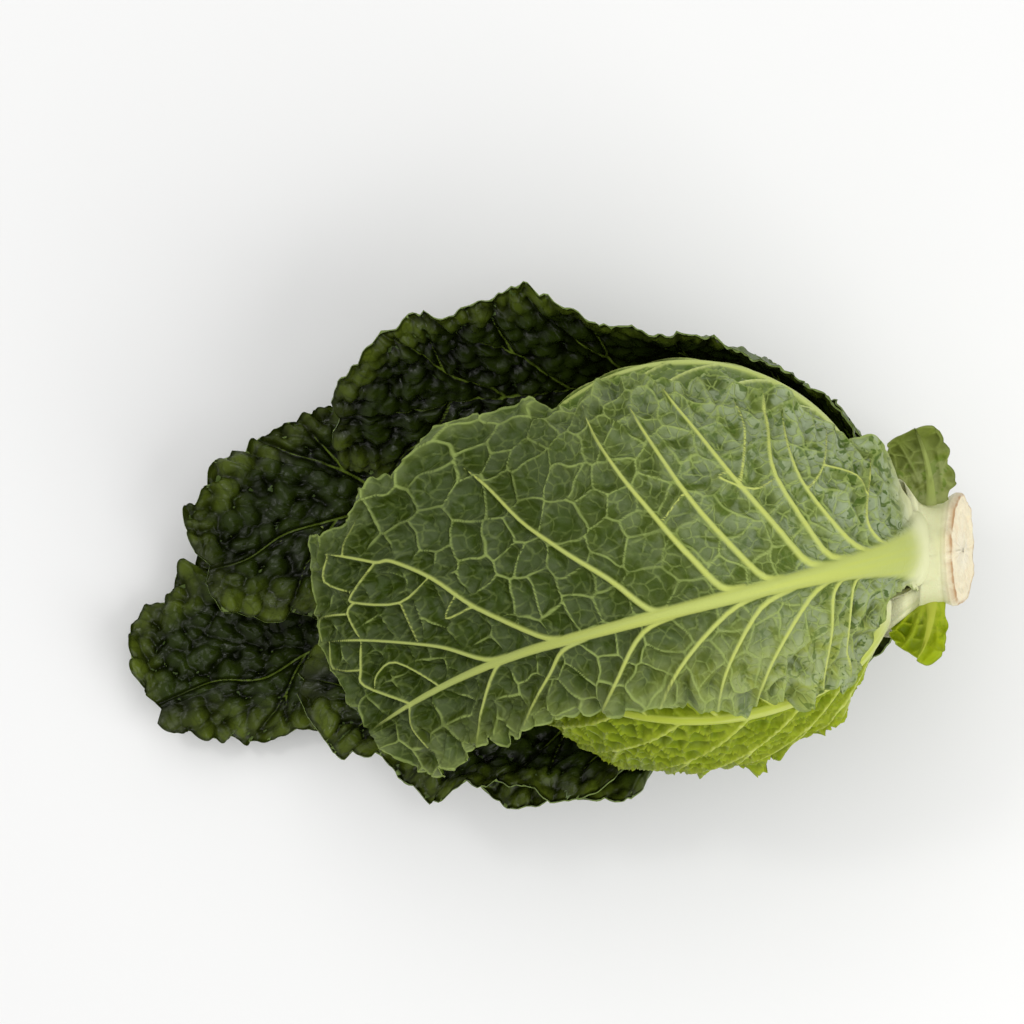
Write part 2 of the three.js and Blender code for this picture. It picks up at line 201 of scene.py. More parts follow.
# Where veins and midribs start to thin towards their ends, and by how much
VEIN_END = 0.82
VEIN_END_TAPER = 0.7
RIB_END = 0.86
RIB_END_TAPER = 0.6
RIB_END_FALL = 0.8

# Where side veins leave the midrib, as shares of its length, and how near to the margin
# they go
FIRST_VEIN = 0.07
VEIN_SPAN = 0.8
VEIN_REACH = 0.93

# How far side veins stray by chance, and how thin they end, and their forks start and
# end, as shares of their half width
VEIN_STRAY = 1.3
SIDE_VEIN_TIP = 0.35
FORK_ROOT = 0.7
FORK_TIP = 0.3

# How far the net gives way to the veins drawn near the tip, between which distances from
# them, and where along the leaf that starts
DRAWN_VEINS = 0.8
NEAR_VEIN = (1.5, 5.5)
NEAR_TIP = (0.6, 0.74)

# Length of the bends in a leaf's veins
WANDER_LENGTH = 19.0

# How strongly the flesh bends light
FLESH_IOR = 1.4

# How far apart on the random sheet the two margins read it
LANE = 31.0

# Least half width of a vein's ridge, and how far out distances to veins are kept
LEAST_RIDGE = 0.9
FAR_SHARE = 5.0

# How far a vein's ridge reaches, in its half widths, and the midrib's least half width
RIDGE_REACH = 1.7
LEAST_RIB = 0.2

# Where the rows of an outline start on the midrib, as shares of the length
RIB_ROWS = (0.0, 0.06, 0.15, 0.28, 0.43, 0.59, 0.75, 0.89, 1.0)

# More than any distance on a leaf, in millimetres
ANYWHERE = 1e9

# Short names of types
Array = np.ndarray
Number = Array | float
Colour = tuple[float, float, float, float]
Place = tuple[float, float, float]
Socket = bpy.types.NodeSocket
Inputs = dict[str | int, object]


def rgb(red: int, green: int, blue: int) -> Colour:
    """Linear colour of a display colour.

    Args:
        red: Display red, 0 to 255.
        green: Display green, 0 to 255.
        blue: Display blue, 0 to 255.

    Returns:
        The linear colour with full opacity.
    """
    shares = [value / 255 for value in (red, green, blue)]
    linear = [v / 12.92 if v <= 0.04045 else ((v + 0.055) / 1.055) ** 2.4 for v in shares]
    return (linear[0], linear[1], linear[2], 1.0)


def held(value: Number) -> Array:
    """A value held between 0 and 1."""
    return np.clip(value, 0.0, 1.0)


def smooth(value: Number, low: float, high: float) -> Array:
    """Share from 0 to 1 that eases in at low and out at high."""
    share = held((value - low) / (high - low))
    return share * share * (3.0 - 2.0 * share)


def mix(first: Number, second: Number, share: Number) -> Array:
    """Straight blend of two values."""
    return first + (second - first) * share


def side_by_side(*values: Number) -> Array:
    """Several values for each point, in one array."""
    return np.stack(np.broadcast_arrays(*values), axis=-1)


def curve_value(values: tuple[float, ...], u: Array) -> Array:
    """Value of a smooth curve through evenly spaced values.

    Args:
        values: The values that the curve passes through.
        u: Shares of the curve's length.

    Returns:
        The curve's value at each share.
    """
    points = np.asarray(values, dtype=float)
    place = held(u) * (len(points) - 1)
    k = np.minimum(place.astype(int), len(points) - 2)
    f = place - k
    before = points[np.maximum(k - 1, 0)]
    after = points[np.minimum(k + 2, len(points) - 1)]
    a = points[k]
    b = points[k + 1]
    slope_a = (b - before) / 2
    slope_b = (after - a) / 2
    rise = (2 * f**3 - 3 * f**2 + 1) * a + (f**3 - 2 * f**2 + f) * slope_a
    return rise + (3 * f**2 - 2 * f**3) * b + (f**3 - f**2) * slope_b


def turned(first: Array, second: Array, angle: float) -> tuple[Array, Array]:
    """Two unit vectors turned in their plane, the first towards the second.

    Args:
        first: The first unit vector.
        second: The second one, square to the first.
        angle: How far they turn, in radians.

    Returns:
        Both vectors, turned.
    """
    cos = math.cos(angle)
    sin = math.sin(angle)
    return first * cos + second * sin, second * cos - first * sin


class Chance:
    """Seeded random fields over a flat sheet of millimetres."""

    SIDE = 128

    # How many squares away a centre may count, and where in its square it lies
    SQUARES = 2
    INSET = 0.1
    FREE = 0.8

    def __init__(self, seed: int) -> None:
        """Draws the lattice that every field reads.

        Args:
            seed: The seed of the draw.
        """
        draw = np.random.default_rng(seed)
        self.lattice = draw.random((self.SIDE, self.SIDE, 3))

    def at(self, i: Array, j: Array) -> Array:
        """Three random shares for each whole-numbered place."""
        return self.lattice[i % self.SIDE, j % self.SIDE]

    def waves(self, x: Array, y: Array, size: float) -> Array:
        """Soft random waves.

        Args:
            x: Places along the sheet.
            y: Places across the sheet.
            size: Length of one wave.

        Returns:
            Values from -1 to 1.
        """
        i = np.floor(x / size).astype(int)
        j = np.floor(y / size).astype(int)
        fx = smooth(x / size - i, 0.0, 1.0)
        fy = smooth(y / size - j, 0.0, 1.0)
        low = mix(self.at(i, j)[..., 0], self.at(i + 1, j)[..., 0], fx)
        high = mix(self.at(i, j + 1)[..., 0], self.at(i + 1, j + 1)[..., 0], fx)
        return 2 * mix(low, high, fy) - 1

    def near(self, x: Array, y: Array, size: float) -> Iterator[tuple[Array, ...]]:
        """Random centres round each place, one in each square of the sheet.

        Args:
            x: Places along the sheet.
            y: Places across the sheet.
            size: Usual distance from one centre to the next.

        Yields:
            Where a centre is, its squared distance, and its random share.
        """
        i = np.floor(x / size).astype(int)
        j = np.floor(y / size).astype(int)
        steps = range(-self.SQUARES, self.SQUARES + 1)
        for di, dj in ((di, dj) for di in steps for dj in steps):
            chance = self.at(i + di, j + dj)
            cx = (i + di + self.INSET + self.FREE * chance[..., 1]) * size
            cy = (j + dj + self.INSET + self.FREE * chance[..., 2]) * size
            yield cx, cy, (x - cx) ** 2 + (y - cy) ** 2, chance[..., 0]

    def cells(self, x: Array, y: Array, size: float) -> tuple[Array, Array]:
        """Irregular cells like those between the smallest veins.

        Args:
            x: Places along the sheet.
            y: Places across the sheet.
            size: Usual width of a cell.

        Returns:
            Distance to the cell's edge, and a random share for each cell.
        """
        home_x, home_y, tone = (np.zeros(np.shape(x)) for _ in range(3))
        best = edge = np.full(np.shape(x), ANYWHERE)
        centres = list(self.near(x, y, size))
        for cx, cy, away, share in centres:
            nearer = away < best
            best = np.where(nearer, away, best)
            home_x = np.where(nearer, cx, home_x)
            home_y = np.where(nearer, cy, home_y)
            tone = np.where(nearer, share, tone)
        for cx, cy, _, _ in centres:
            gap_x = cx - home_x
            gap_y = cy - home_y
            gap = np.hypot(gap_x, gap_y)
            apart = gap > 1e-6
            along_x = ((cx + home_x) / 2 - x) * gap_x
            along_y = ((cy + home_y) / 2 - y) * gap_y
            away = (along_x + along_y) / np.where(apart, gap, 1.0)
            edge = np.where(apart, np.minimum(edge, away), edge)
        return edge, tone

    def bubbles(self, x: Array, y: Array, size: float) -> Array:
        """Round bubbles of mixed sizes that press together.

        Args:
            x: Places along the sheet.
            y: Places across the sheet.
            size: Usual distance from one bubble to the next.

        Returns:
            Height over the sheet, as a share of the largest bubble's.
        """
        height = np.zeros(np.shape(x))
        for _, _, away, share in self.near(x, y, size):
            radius = size * mix(SMALL_BUBBLE, LARGE_BUBBLE, share)
            ball = np.sqrt(np.maximum(radius**2 - away, 0.0)) / (size * LARGE_BUBBLE)
            height = np.maximum(height, ball)
        return height


class Face(Enum):
    """The two faces of a leaf."""

    OUTER = 0
    INNER = 1


class Outline(Enum):
    """Blade outlines: distance along and half width, as shares of length and width."""

    ROUND = (
        (0.0, 0.09, 0.23, 0.42, 0.61, 0.78, 0.91, 0.98, 1.01),
        (0.28, 0.36, 0.6, 0.88, 1.0, 0.93, 0.7, 0.4, 0.12),
    )
    BLUNT = (
        (0.0, 0.08, 0.22, 0.4, 0.6, 0.79, 0.93, 1.0, 1.01),
        (0.28, 0.44, 0.7, 0.92, 1.0, 0.94, 0.75, 0.48, 0.13),
    )
    STRAP = (
        (0.0, 0.14, 0.25, 0.42, 0.6, 0.78, 0.92, 0.99, 1.01),
        (0.8, 0.84, 0.9, 0.97, 1.0, 0.95, 0.78, 0.52, 0.15),
    )
    SQUARE = (
        (0.0, 0.08, 0.22, 0.4, 0.58, 0.74, 0.86, 0.96, 1.005),
        (0.2, 0.4, 0.7, 0.92, 1.0, 0.92, 0.77, 0.64, 0.13),
    )
    WAISTED = (
        (0.0, 0.11, 0.2, 0.36, 0.5, 0.66, 0.82, 0.96, 1.005),
        (0.28, 0.36, 0.95, 1.0, 0.8, 0.58, 0.56, 0.52, 0.12),
    )

    def along(self, u: Array) -> Array:
        """Share of the length at each share of the outline."""
        return curve_value(self.value[0], u)

    def width(self, u: Array) -> Array:
        """Share of the half width at each share of the outline."""
        return curve_value(self.value[1], u)


@dataclass(frozen=True)
class Vein:
    """A vein as a path over the leaf, along and across it, with its half widths."""

    path: tuple[tuple[float, float], ...]
    root: float
    tip: float

    def rounded(self) -> Array:
        """The path with its corners rounded.

        Returns:
            Points along the rounded path.
        """
        points = np.asarray(self.path, dtype=float)
        u = np.linspace(0.0, 1.0, VEIN_STEPS * (len(points) - 1) + 1)
        return side_by_side(*(curve_value(tuple(line), u) for line in points.T))

    def reach(self, s: Array, t: Array) -> tuple[Array, ...]:
        """How near each place is to the vein.

        Args:
            s: Places along the leaf.
            t: Places across the leaf.

        Returns:
            Distance as a share of the local half width, the same for its ridge, which is
            never very thin, and clear distance from it.
        """
        line = self.rounded()
        share = np.full(s.shape, FAR_SHARE)
        ridge = np.full(s.shape, FAR_SHARE)
        clear = np.full(s.shape, ANYWHERE)
        count = len(line) - 1
        for k in range(count):
            start = line[k]
            step = line[k + 1] - start
            size = float(step @ step) + 1e-9
            f = np.clip(((s - start[0]) * step[0] + (t - start[1]) * step[1]) / size, 0, 1)
            away = np.hypot(s - start[0] - f * step[0], t - start[1] - f * step[1])
            along = (k + f) / count
            taper = 1 - VEIN_END_TAPER * smooth(along, VEIN_END, 1.0)
            half = mix(self.tip, self.root, (1 - along) ** 1.5) * taper
            share = np.minimum(share, away / half)
            ridge = np.minimum(ridge, away / np.maximum(half, LEAST_RIDGE * taper))
            clear = np.minimum(clear, away - half)
        return share, ridge, clear


@dataclass(frozen=True)
class Relief:
    """The raised and sunken forms of one kind of leaf."""

    cell: float
    head_depth: float
    open_depth: float
    roundness: float
    lump: float
    lump_depth: float
    vein_height: float
    net_half_width: float
    net_height: float
    ruffle: float
    curl: float
    foot: float = 4.0
    lobes: float = 2.0
    ruffle_width: float = 9.0
    head_ruffle: float = 0.45
    side_veins: int = 7
    vein_half_width: float = 1.1
    rib_bed: float = 1.0
    bulge: float = 0.0
    wander: float = 0.5
    bubbles: bool = False


class Recipe:
    """A material's nodes, with one short call for each step."""

    def __init__(self, name: str) -> None:
        """Starts a material with one shader.

        Args:
            name: Name of the material.
        """
        self.material = bpy.data.materials.new(name)
        self.material.use_nodes = True
        self.tree = self.material.node_tree
        self.tree.nodes.clear()
        shader = self.add("BsdfPrincipled", "BSDF", {})
        self.inputs = shader.node.inputs
        self.add("OutputMaterial", None, {"Surface": shader})
        self.place = self.add("TexCoord", "Object", {})

    def add(
        self, kind: str, output: str | int | None, values: Inputs, **settings: object
    ) -> Socket | None:
        """Adds a node, sets it up and feeds it.

        Args:
            kind: The node's kind.
            output: Name or number of the output that is wanted.
            values: What each input gets, a value or another socket.
            **settings: The node's own settings.

        Returns:
            The output.
        """
        node = self.tree.nodes.new(f"ShaderNode{kind}")
        for key, setting in settings.items():
            setattr(node, key, setting)
        for key, value in values.items():
            self.feed(node.inputs[key], value)
        return None if output is None else node.outputs[output]

    def feed(self, socket: Socket, value: object) -> None:
        """Links a socket to another one, or sets its value.

        Args:
            socket: The input that is fed.
            value: A value, or the output to link it to.
        """
        if isinstance(value, Socket):
            self.tree.links.new(value, socket)
        else:
            socket.default_value = value

    def surface(self, values: Inputs) -> None:
        """Feeds the shader's inputs by their names."""
        for name, value in values.items():
            self.feed(self.inputs[name], value)

    def glow(self, weight: float, radius: Place, depth: float) -> None:
        """Lets light into the flesh.

        Args:
            weight: How much of the light goes in.
            radius: How far red, green and blue spread, as shares of the depth.
            depth: How deep it goes, in metres.
        """
        values = {"Weight": weight, "Radius": radius, "Scale": depth}
        self.surface({f"Subsurface {name}": value for name, value in values.items()})

    def attribute(self, name: str) -> tuple[Socket, ...]:
        """The three values that the mesh holds under a name."""
        source = self.add("Attribute", "Vector", {}, attribute_name=name)
        return tuple(self.add("SeparateXYZ", 0, {0: source}).node.outputs)

    def vector(self, x: object, y: object, z: object) -> Socket:
        """A place made of three values."""
        return self.add("CombineXYZ", 0, {0: x, 1: y, 2: z})

    def sum(self, operation: str, first: object, second: object, clamp: bool = False) -> Socket:
        """One step of arithmetic."""
        return self.add("Math", 0, {0: first, 1: second}, operation=operation, use_clamp=clamp)

    def times(self, first: object, *factors: object) -> Socket:
        """A product, held between 0 and 1 after each factor.

        Args:
            first: The first value.
            *factors: What it is multiplied by.

        Returns:
            The product.
        """
        for factor in factors:
            first = self.sum("MULTIPLY", first, factor, clamp=True)
        return first

    def plus(self, first: object, second: object) -> Socket:
        """The sum of two values."""
        return self.sum("ADD", first, second)

    def scaled(self, value: object, factor: float) -> Socket:
        """A value times a number."""
        return self.sum("MULTIPLY", value, factor)

    def eased(
        self, value: object, low: float, high: float, first: float = 0.0, last: float = 1.0
    ) -> Socket:
        """Eases from first to last while a value goes from low to high."""
        steps = dict(enumerate((value, low, high, first, last)))
        return self.add("MapRange", 0, steps, interpolation_type="SMOOTHSTEP")

    def noise(
        self, size: float, detail: float, place: object = None, distortion: float = 0.0
    ) -> Socket:
        """Random clouds.

        Args:
            size: Width of one cloud, in metres.
            detail: How many finer steps it has.
            place: Where it is read, or the object's own place.
            distortion: How far the clouds are drawn out of shape.

        Returns:
            Values from 0 to 1.
        """
        values = {
            "Vector": self.place if place is None else place,
            "Scale": 1.0 / size,
            "Detail": detail,
            "Distortion": distortion,
        }
        return self.add("TexNoise", "Fac", values)

    def moved(self, place: object, shift: float) -> Socket:
        """A place moved by the same distance in each direction."""
        return self.add("VectorMath", 0, {0: place, 1: (shift, shift, shift)})

    def mesh_of_cells(self, place: object, size: float) -> Socket:
        """Distance to the edges of irregular cells.

        Args:
            place: Where it is read.
            size: Width of one cell in the place's own unit.

        Returns:
            The distance as a share of a cell.
        """
        kind = {"voronoi_dimensions": "2D", "feature": "DISTANCE_TO_EDGE"}
        return self.add("TexVoronoi", "Distance", {"Vector": place, "Scale": 1.0 / size}, **kind)

    def blend(self, factor: object, first: object, second: object) -> Socket:
        """Mixes two colours by a factor."""
        return self.add("Mix", 2, {0: factor, 6: first, 7: second}, data_type="RGBA")

    def bump(self, height: object, depth: float, strength: float) -> None:
        """Adds a fine relief to the shader.

        Args:
            height: The relief's height, 0 to 1.
            depth: Its full depth, in metres.
            strength: How much of it shows.
        """
        values = {"Strength": strength, "Distance": depth, "Height": height}
        self.surface({"Normal": self.add("Bump", "Normal", values)})


@dataclass(frozen=True)
class LeafFinish:
    """Colours and gloss of one face of a leaf."""

    name: str
    flesh: Colour
    light: Colour
    # Painted shading of the relief: darker in the pits of an underside, lighter on the bubble tops
    # of an upper face
    relief_shading: Colour
    # Painted light shining through the leaf, in patches
    through_light: Colour
    bloom: Colour
    vein: Colour
    net: Colour
    margin: Colour
    cord: Colour
    base: Colour
    far: Colour
    far_share: float = 0.75
    far_start: tuple[float, float] = (0.35, 0.8)
    far_net: float = 0.25
    line_ends: tuple[float, float] = (1.2, 1.3)
    # How strong the painted patches of light through the leaf are
    through_light_share: float = 0.3
    bloom_share: float = 0.3
    # How much of the painted relief shading shows
    relief_shading_share: float = 0.6
    net_share: float = 0.7
    fine_share: float = 0.3
    margin_share: float = 0.3
    crest_share: float = 0.0
    far_margin: float = 1.0
    dome_ends: tuple[float, float] = (0.1, 0.9)
    warm: Colour = (0.3, 0.3, 0.1, 1.0)
    warm_share: float = 0.0
    base_reach: float = 0.16
    base_share: float = 1.0
    bloom_ends: tuple[float, float] = (0.4, 0.7)
    roughness: float = 0.45
    gloss: float = 0.3
    grain: float = 0.6
    glow: float = 0.0

    def material(self) -> bpy.types.Material:
        """The finish as a material, made once.

        Returns:
            The material.
        """
        known = bpy.data.materials.get(self.name)
        if known is not None:
            return known
        recipe = Recipe(self.name)
        eased, times, blend = recipe.eased, recipe.times, recipe.blend
        plus, scaled, noise = recipe.plus, recipe.scaled, recipe.noise
        vein_share, rib_share, net_away = recipe.attribute("ribs")
        along, margin, dome = recipe.attribute("spot")
        across, down, tone = recipe.attribute("leafmap")

        # Random clouds, and the finest net
        clouds = noise(0.022, 3.0)
        mottle = noise(0.0045, 3.0, distortion=0.6)
        speckle = noise(0.0012, 2.0)
        bend_across = scaled(noise(0.005, 1.0), 0.04)
        place = recipe.vector(plus(across, bend_across), plus(down, scaled(mottle, 0.02)), 0.0)
        fine = eased(recipe.mesh_of_cells(place, FINE_CELL), 0.02, 0.13, 1.0, 0.0)
        rooted = eased(across, 0.06, 0.3)

        # Where the veins, the midrib and the net are
        vein = times(eased(vein_share, 0.35, 1.35, 1.0, 0.0), rooted)
        vein = times(vein, eased(margin, 0.15, 0.85, 1.0, 0.35))
        line = times(
            eased(rib_share, 0.72, 1.08, 1.0, 0.0), eased(along, *self.line_ends, 1.0, 0.0)
        )
        main = recipe.sum("MAXIMUM", vein, line)
        net = times(eased(net_away, 0.12, 0.62, 1.0, 0.0), rooted, eased(clouds, 0.3, 0.6, 0.45))

        # Flesh, lighter in patches, and other tones at the far end and on the low side
        lit = plus(eased(mottle, 0.35, 0.68), eased(tone, 0.0, 1.0, -0.35, 0.35))
        colour = blend(lit, self.flesh, self.light)
        colour = blend(eased(along, *self.far_start, 0.0, self.far_share), colour, self.far)
        low_side = eased(down, -0.3, 0.0, self.warm_share, 0.0)
        colour = blend(times(low_side, eased(along, 0.3, 0.6, 1.0, 0.2)), colour, self.warm)

        # Margin, and painted shading of the relief by the dome's height: darker for the pits of
        # undersides, lighter for the bubble tops of upper faces
        near_margin = eased(plus(margin, scaled(mottle, 0.3)), 0.5, 1.15)
        edge = times(near_margin, eased(along, 0.45, 0.75, 1.0, self.far_margin))
        colour = blend(scaled(edge, self.margin_share), colour, self.margin)
        relief_shading_colour = blend(scaled(edge, self.crest_share), self.relief_shading, self.margin)
        # Painted shade in the pits and painted light on the bubble tops, following the dome's
        # height
        sunk = times(eased(dome, *self.dome_ends), self.relief_shading_share)
        colour = blend(sunk, colour, relief_shading_colour)

        # Waxy bloom, and painted patches of light shining through the leaf
        waxy = eased(noise(0.009, 4.0, distortion=1.0), 0.4, 0.6)
        near_stem = eased(along, *self.bloom_ends, 1.0, 0.12)
        colour = blend(times(waxy, near_stem, self.bloom_share), colour, self.bloom)
        spots = noise(0.0055, 3.0, recipe.moved(recipe.place, 0.7), 1.4)
        # Painted light: bright patches where light shines through the leaf
        through_light_patches = times(eased(spots, 0.57, 0.6, 0.0, self.through_light_share), near_stem)
        colour = blend(through_light_patches, colour, self.through_light)

        # Net
        thin = times(scaled(fine, self.fine_share), rooted, eased(spots, 0.42, 0.62, 1.0, 0.25))
        thin = times(thin, eased(along, 0.3, 0.6, 1.0, self.far_net))
        colour = blend(thin, colour, self.net)
        colour = blend(times(net, self.net_share), colour, self.net)

        # Veins and midrib, streaked along their length and whitish at the root
        streak_place = recipe.vector(scaled(across, 0.5), scaled(down, 12.0), 0.0)
        streaks = noise(0.22, 2.0, streak_place)
        cord = blend(eased(streaks, 0.42, 0.62, 0.0, 0.4), self.vein, self.cord)
        at_root = eased(along, 0.0, self.base_reach, 1.0, 0.0)
        cord = blend(times(at_root, self.base_share), cord, self.base)
        cord = blend(eased(along, 0.45, 0.95, 0.0, 0.4), cord, self.light)
        colour = blend(main, colour, cord)
        whitish = eased(across, 0.02, 0.22, 1.0, 0.0)
        whitish = times(whitish, eased(along, 0.05, 0.3, self.base_share, 0.0))
        colour = blend(whitish, colour, self.base)
        # Painted highlight: a thin pale line along the very edge of the margin
        colour = blend(eased(margin, 0.94, 0.975, 0.0, 0.6), colour, self.net)

        rough = eased(mottle, 0.3, 0.7, self.roughness - 0.07, self.roughness + 0.09)
        gloss = {"IOR": FLESH_IOR, "Specular IOR Level": self.gloss}
        recipe.surface({"Base Color": colour, "Roughness": rough, **gloss})
        if self.glow > 0:
            recipe.glow(self.glow, (0.6, 1.0, 0.25), 0.002)
        grain = plus(scaled(speckle, 0.35), scaled(mottle, 0.4))
        ridges = plus(scaled(thin, 0.9), scaled(net, 0.3))
        off_veins = eased(main, 0.1, 0.8, 1.0, 0.12)
        recipe.bump(times(plus(grain, ridges), off_veins), 0.0006, self.grain)
        return recipe.material


FRONT_UNDER = LeafFinish(
    name="waxy_underside",
    flesh=rgb(92, 108, 44), light=rgb(122, 136, 76), relief_shading=rgb(52, 68, 14), through_light=rgb(62, 86, 18),
    bloom=rgb(152, 164, 134), vein=rgb(172, 182, 98), net=rgb(140, 156, 84),
    margin=rgb(138, 154, 84), cord=rgb(178, 186, 84), base=rgb(220, 222, 176), far=rgb(42, 56, 2),
    far_share=0.95, through_light_share=0.85, bloom_share=0.75, relief_shading_share=0.85, net_share=0.8,
    margin_share=0.5, base_reach=0.2, roughness=0.42, gloss=0.15, far_start=(0.3, 0.64),
    bloom_ends=(0.2, 0.55), warm=rgb(158, 168, 76), warm_share=0.65, far_margin=0.5,
    dome_ends=(0.3, 1.05), grain=0.7, line_ends=(0.9, 1.0), fine_share=0.75,
)
DARK_UPPER = LeafFinish(
    name="dark_blistered_face",
    flesh=rgb(8, 12, 1), light=rgb(13, 19, 1), relief_shading=rgb(38, 50, 9), through_light=rgb(30, 42, 5),
    bloom=rgb(40, 52, 14), vein=rgb(112, 132, 44), net=rgb(20, 28, 4), margin=rgb(92, 106, 30),
    cord=rgb(112, 134, 44), base=rgb(150, 166, 90), far=rgb(10, 15, 1), through_light_share=0.2,
    bloom_share=0.12, relief_shading_share=0.95, net_share=0.35, margin_share=0.13, roughness=0.27,
    gloss=0.22, far_net=1.0, line_ends=(0.86, 0.99), crest_share=0.7, dome_ends=(0.15, 0.95),
    grain=0.3,
)
DARK_UNDER = LeafFinish(
    name="dark_leaf_underside",
    flesh=rgb(66, 84, 36), light=rgb(86, 104, 52), relief_shading=rgb(46, 62, 24), through_light=rgb(56, 78, 20),
    bloom=rgb(116, 130, 98), vein=rgb(166, 180, 100), net=rgb(124, 142, 74),
    margin=rgb(98, 116, 44), cord=rgb(144, 160, 78), base=rgb(204, 212, 160), far=rgb(54, 72, 24),
    through_light_share=0.5, bloom_share=0.5, roughness=0.44, gloss=0.22,
)
GREEN_UPPER = LeafFinish(
    name="green_upper_face",
    flesh=rgb(52, 68, 18), light=rgb(74, 92, 28), relief_shading=rgb(88, 106, 38), through_light=rgb(70, 92, 18),
    bloom=rgb(104, 118, 70), vein=rgb(164, 182, 90), net=rgb(98, 118, 42), margin=rgb(120, 140, 40),
    cord=rgb(140, 160, 66), base=rgb(196, 206, 146), far=rgb(48, 66, 14), bloom_share=0.25,
    roughness=0.36, gloss=0.22, far_net=1.0, line_ends=(0.6, 0.95),
)
GREEN_UNDER = LeafFinish(
    name="green_underside",
    flesh=rgb(88, 108, 42), light=rgb(116, 134, 62), relief_shading=rgb(60, 80, 28), through_light=rgb(82, 108, 22),
    bloom=rgb(140, 152, 112), vein=rgb(188, 200, 118), net=rgb(150, 168, 84),
    margin=rgb(132, 154, 50), cord=rgb(166, 180, 84), base=rgb(212, 218, 168), far=rgb(78, 100, 30),
    through_light_share=0.6, bloom_share=0.5, net_share=0.75, roughness=0.42, gloss=0.22,
)
YELLOW_UNDER = LeafFinish(
    name="yellow_green_underside",
    flesh=rgb(116, 132, 12), light=rgb(146, 160, 34), relief_shading=rgb(84, 104, 2),
    through_light=rgb(116, 140, 14), bloom=rgb(160, 172, 74), vein=rgb(172, 184, 66), net=rgb(150, 166, 38),
    margin=rgb(150, 166, 10), cord=rgb(200, 208, 128), base=rgb(222, 224, 182),
    far=rgb(112, 132, 22), far_share=0.5, through_light_share=0.5, bloom_share=0.2, net_share=0.65,
    margin_share=0.7, base_reach=0.28, roughness=0.38, glow=0.08, gloss=0.15, relief_shading_share=0.7,
)
YELLOW_UPPER = LeafFinish(
    name="yellow_green_upper_face",
    flesh=rgb(120, 138, 26), light=rgb(156, 172, 44), relief_shading=rgb(170, 184, 60),
    through_light=rgb(112, 134, 12), bloom=rgb(172, 184, 88), vein=rgb(210, 216, 142),
    net=rgb(150, 166, 50), margin=rgb(152, 170, 24), cord=rgb(196, 206, 124),
    base=rgb(224, 226, 180), far=rgb(116, 136, 20), far_share=0.5, relief_shading_share=0.5,
    margin_share=0.6, base_reach=0.25, roughness=0.36, glow=0.08,
)
PALE = LeafFinish(
    name="pale_heart_leaf",
    flesh=rgb(170, 182, 84), light=rgb(196, 202, 114), relief_shading=rgb(148, 162, 60),
    through_light=rgb(156, 172, 62), bloom=rgb(204, 208, 148), vein=rgb(226, 228, 180),
    net=rgb(204, 210, 136), margin=rgb(162, 178, 54), cord=rgb(214, 218, 158),
    base=rgb(230, 232, 192), far=rgb(166, 180, 76), far_share=0.5, bloom_share=0.25, net_share=0.6,
    margin_share=0.5, base_reach=0.3, roughness=0.34, glow=0.1,
)
COLLAR_GREEN = replace(
    GREEN_UNDER, name="matte_collar_leaf",
    flesh=rgb(96, 106, 46), light=rgb(124, 134, 72), relief_shading=rgb(74, 84, 30),
    bloom=rgb(138, 146, 98), vein=rgb(134, 146, 78), net=rgb(130, 142, 74),
    margin=rgb(126, 142, 44), cord=rgb(136, 148, 80), base=rgb(160, 168, 108), far=rgb(92, 104, 42),
    base_share=0.4, roughness=0.55, gloss=0.12,
)
COLLAR_YELLOW = replace(
    YELLOW_UNDER, name="yellow_collar_leaf",
    base=rgb(160, 170, 60), vein=rgb(164, 172, 60), cord=rgb(168, 176, 66), base_share=0.3,
)
COLLAR_RELIEF = Relief(
    cell=5.0, head_depth=2.0, open_depth=2.4, roundness=2.0, lump=2.6, lump_depth=1.0,
    vein_height=0.4, net_half_width=0.7, net_height=0.25, ruffle=3.4, curl=2.2,
    foot=0.0, lobes=3.4, ruffle_width=8.0, head_ruffle=1.0, side_veins=0, wander=1.0, bulge=2.2,
)


@dataclass(frozen=True)
class Dress:
    """How one kind of leaf is formed and coloured."""

    slot: str
    outer: LeafFinish
    inner: LeafFinish
    relief: Relief
    step: float
    fine: Face = Face.OUTER


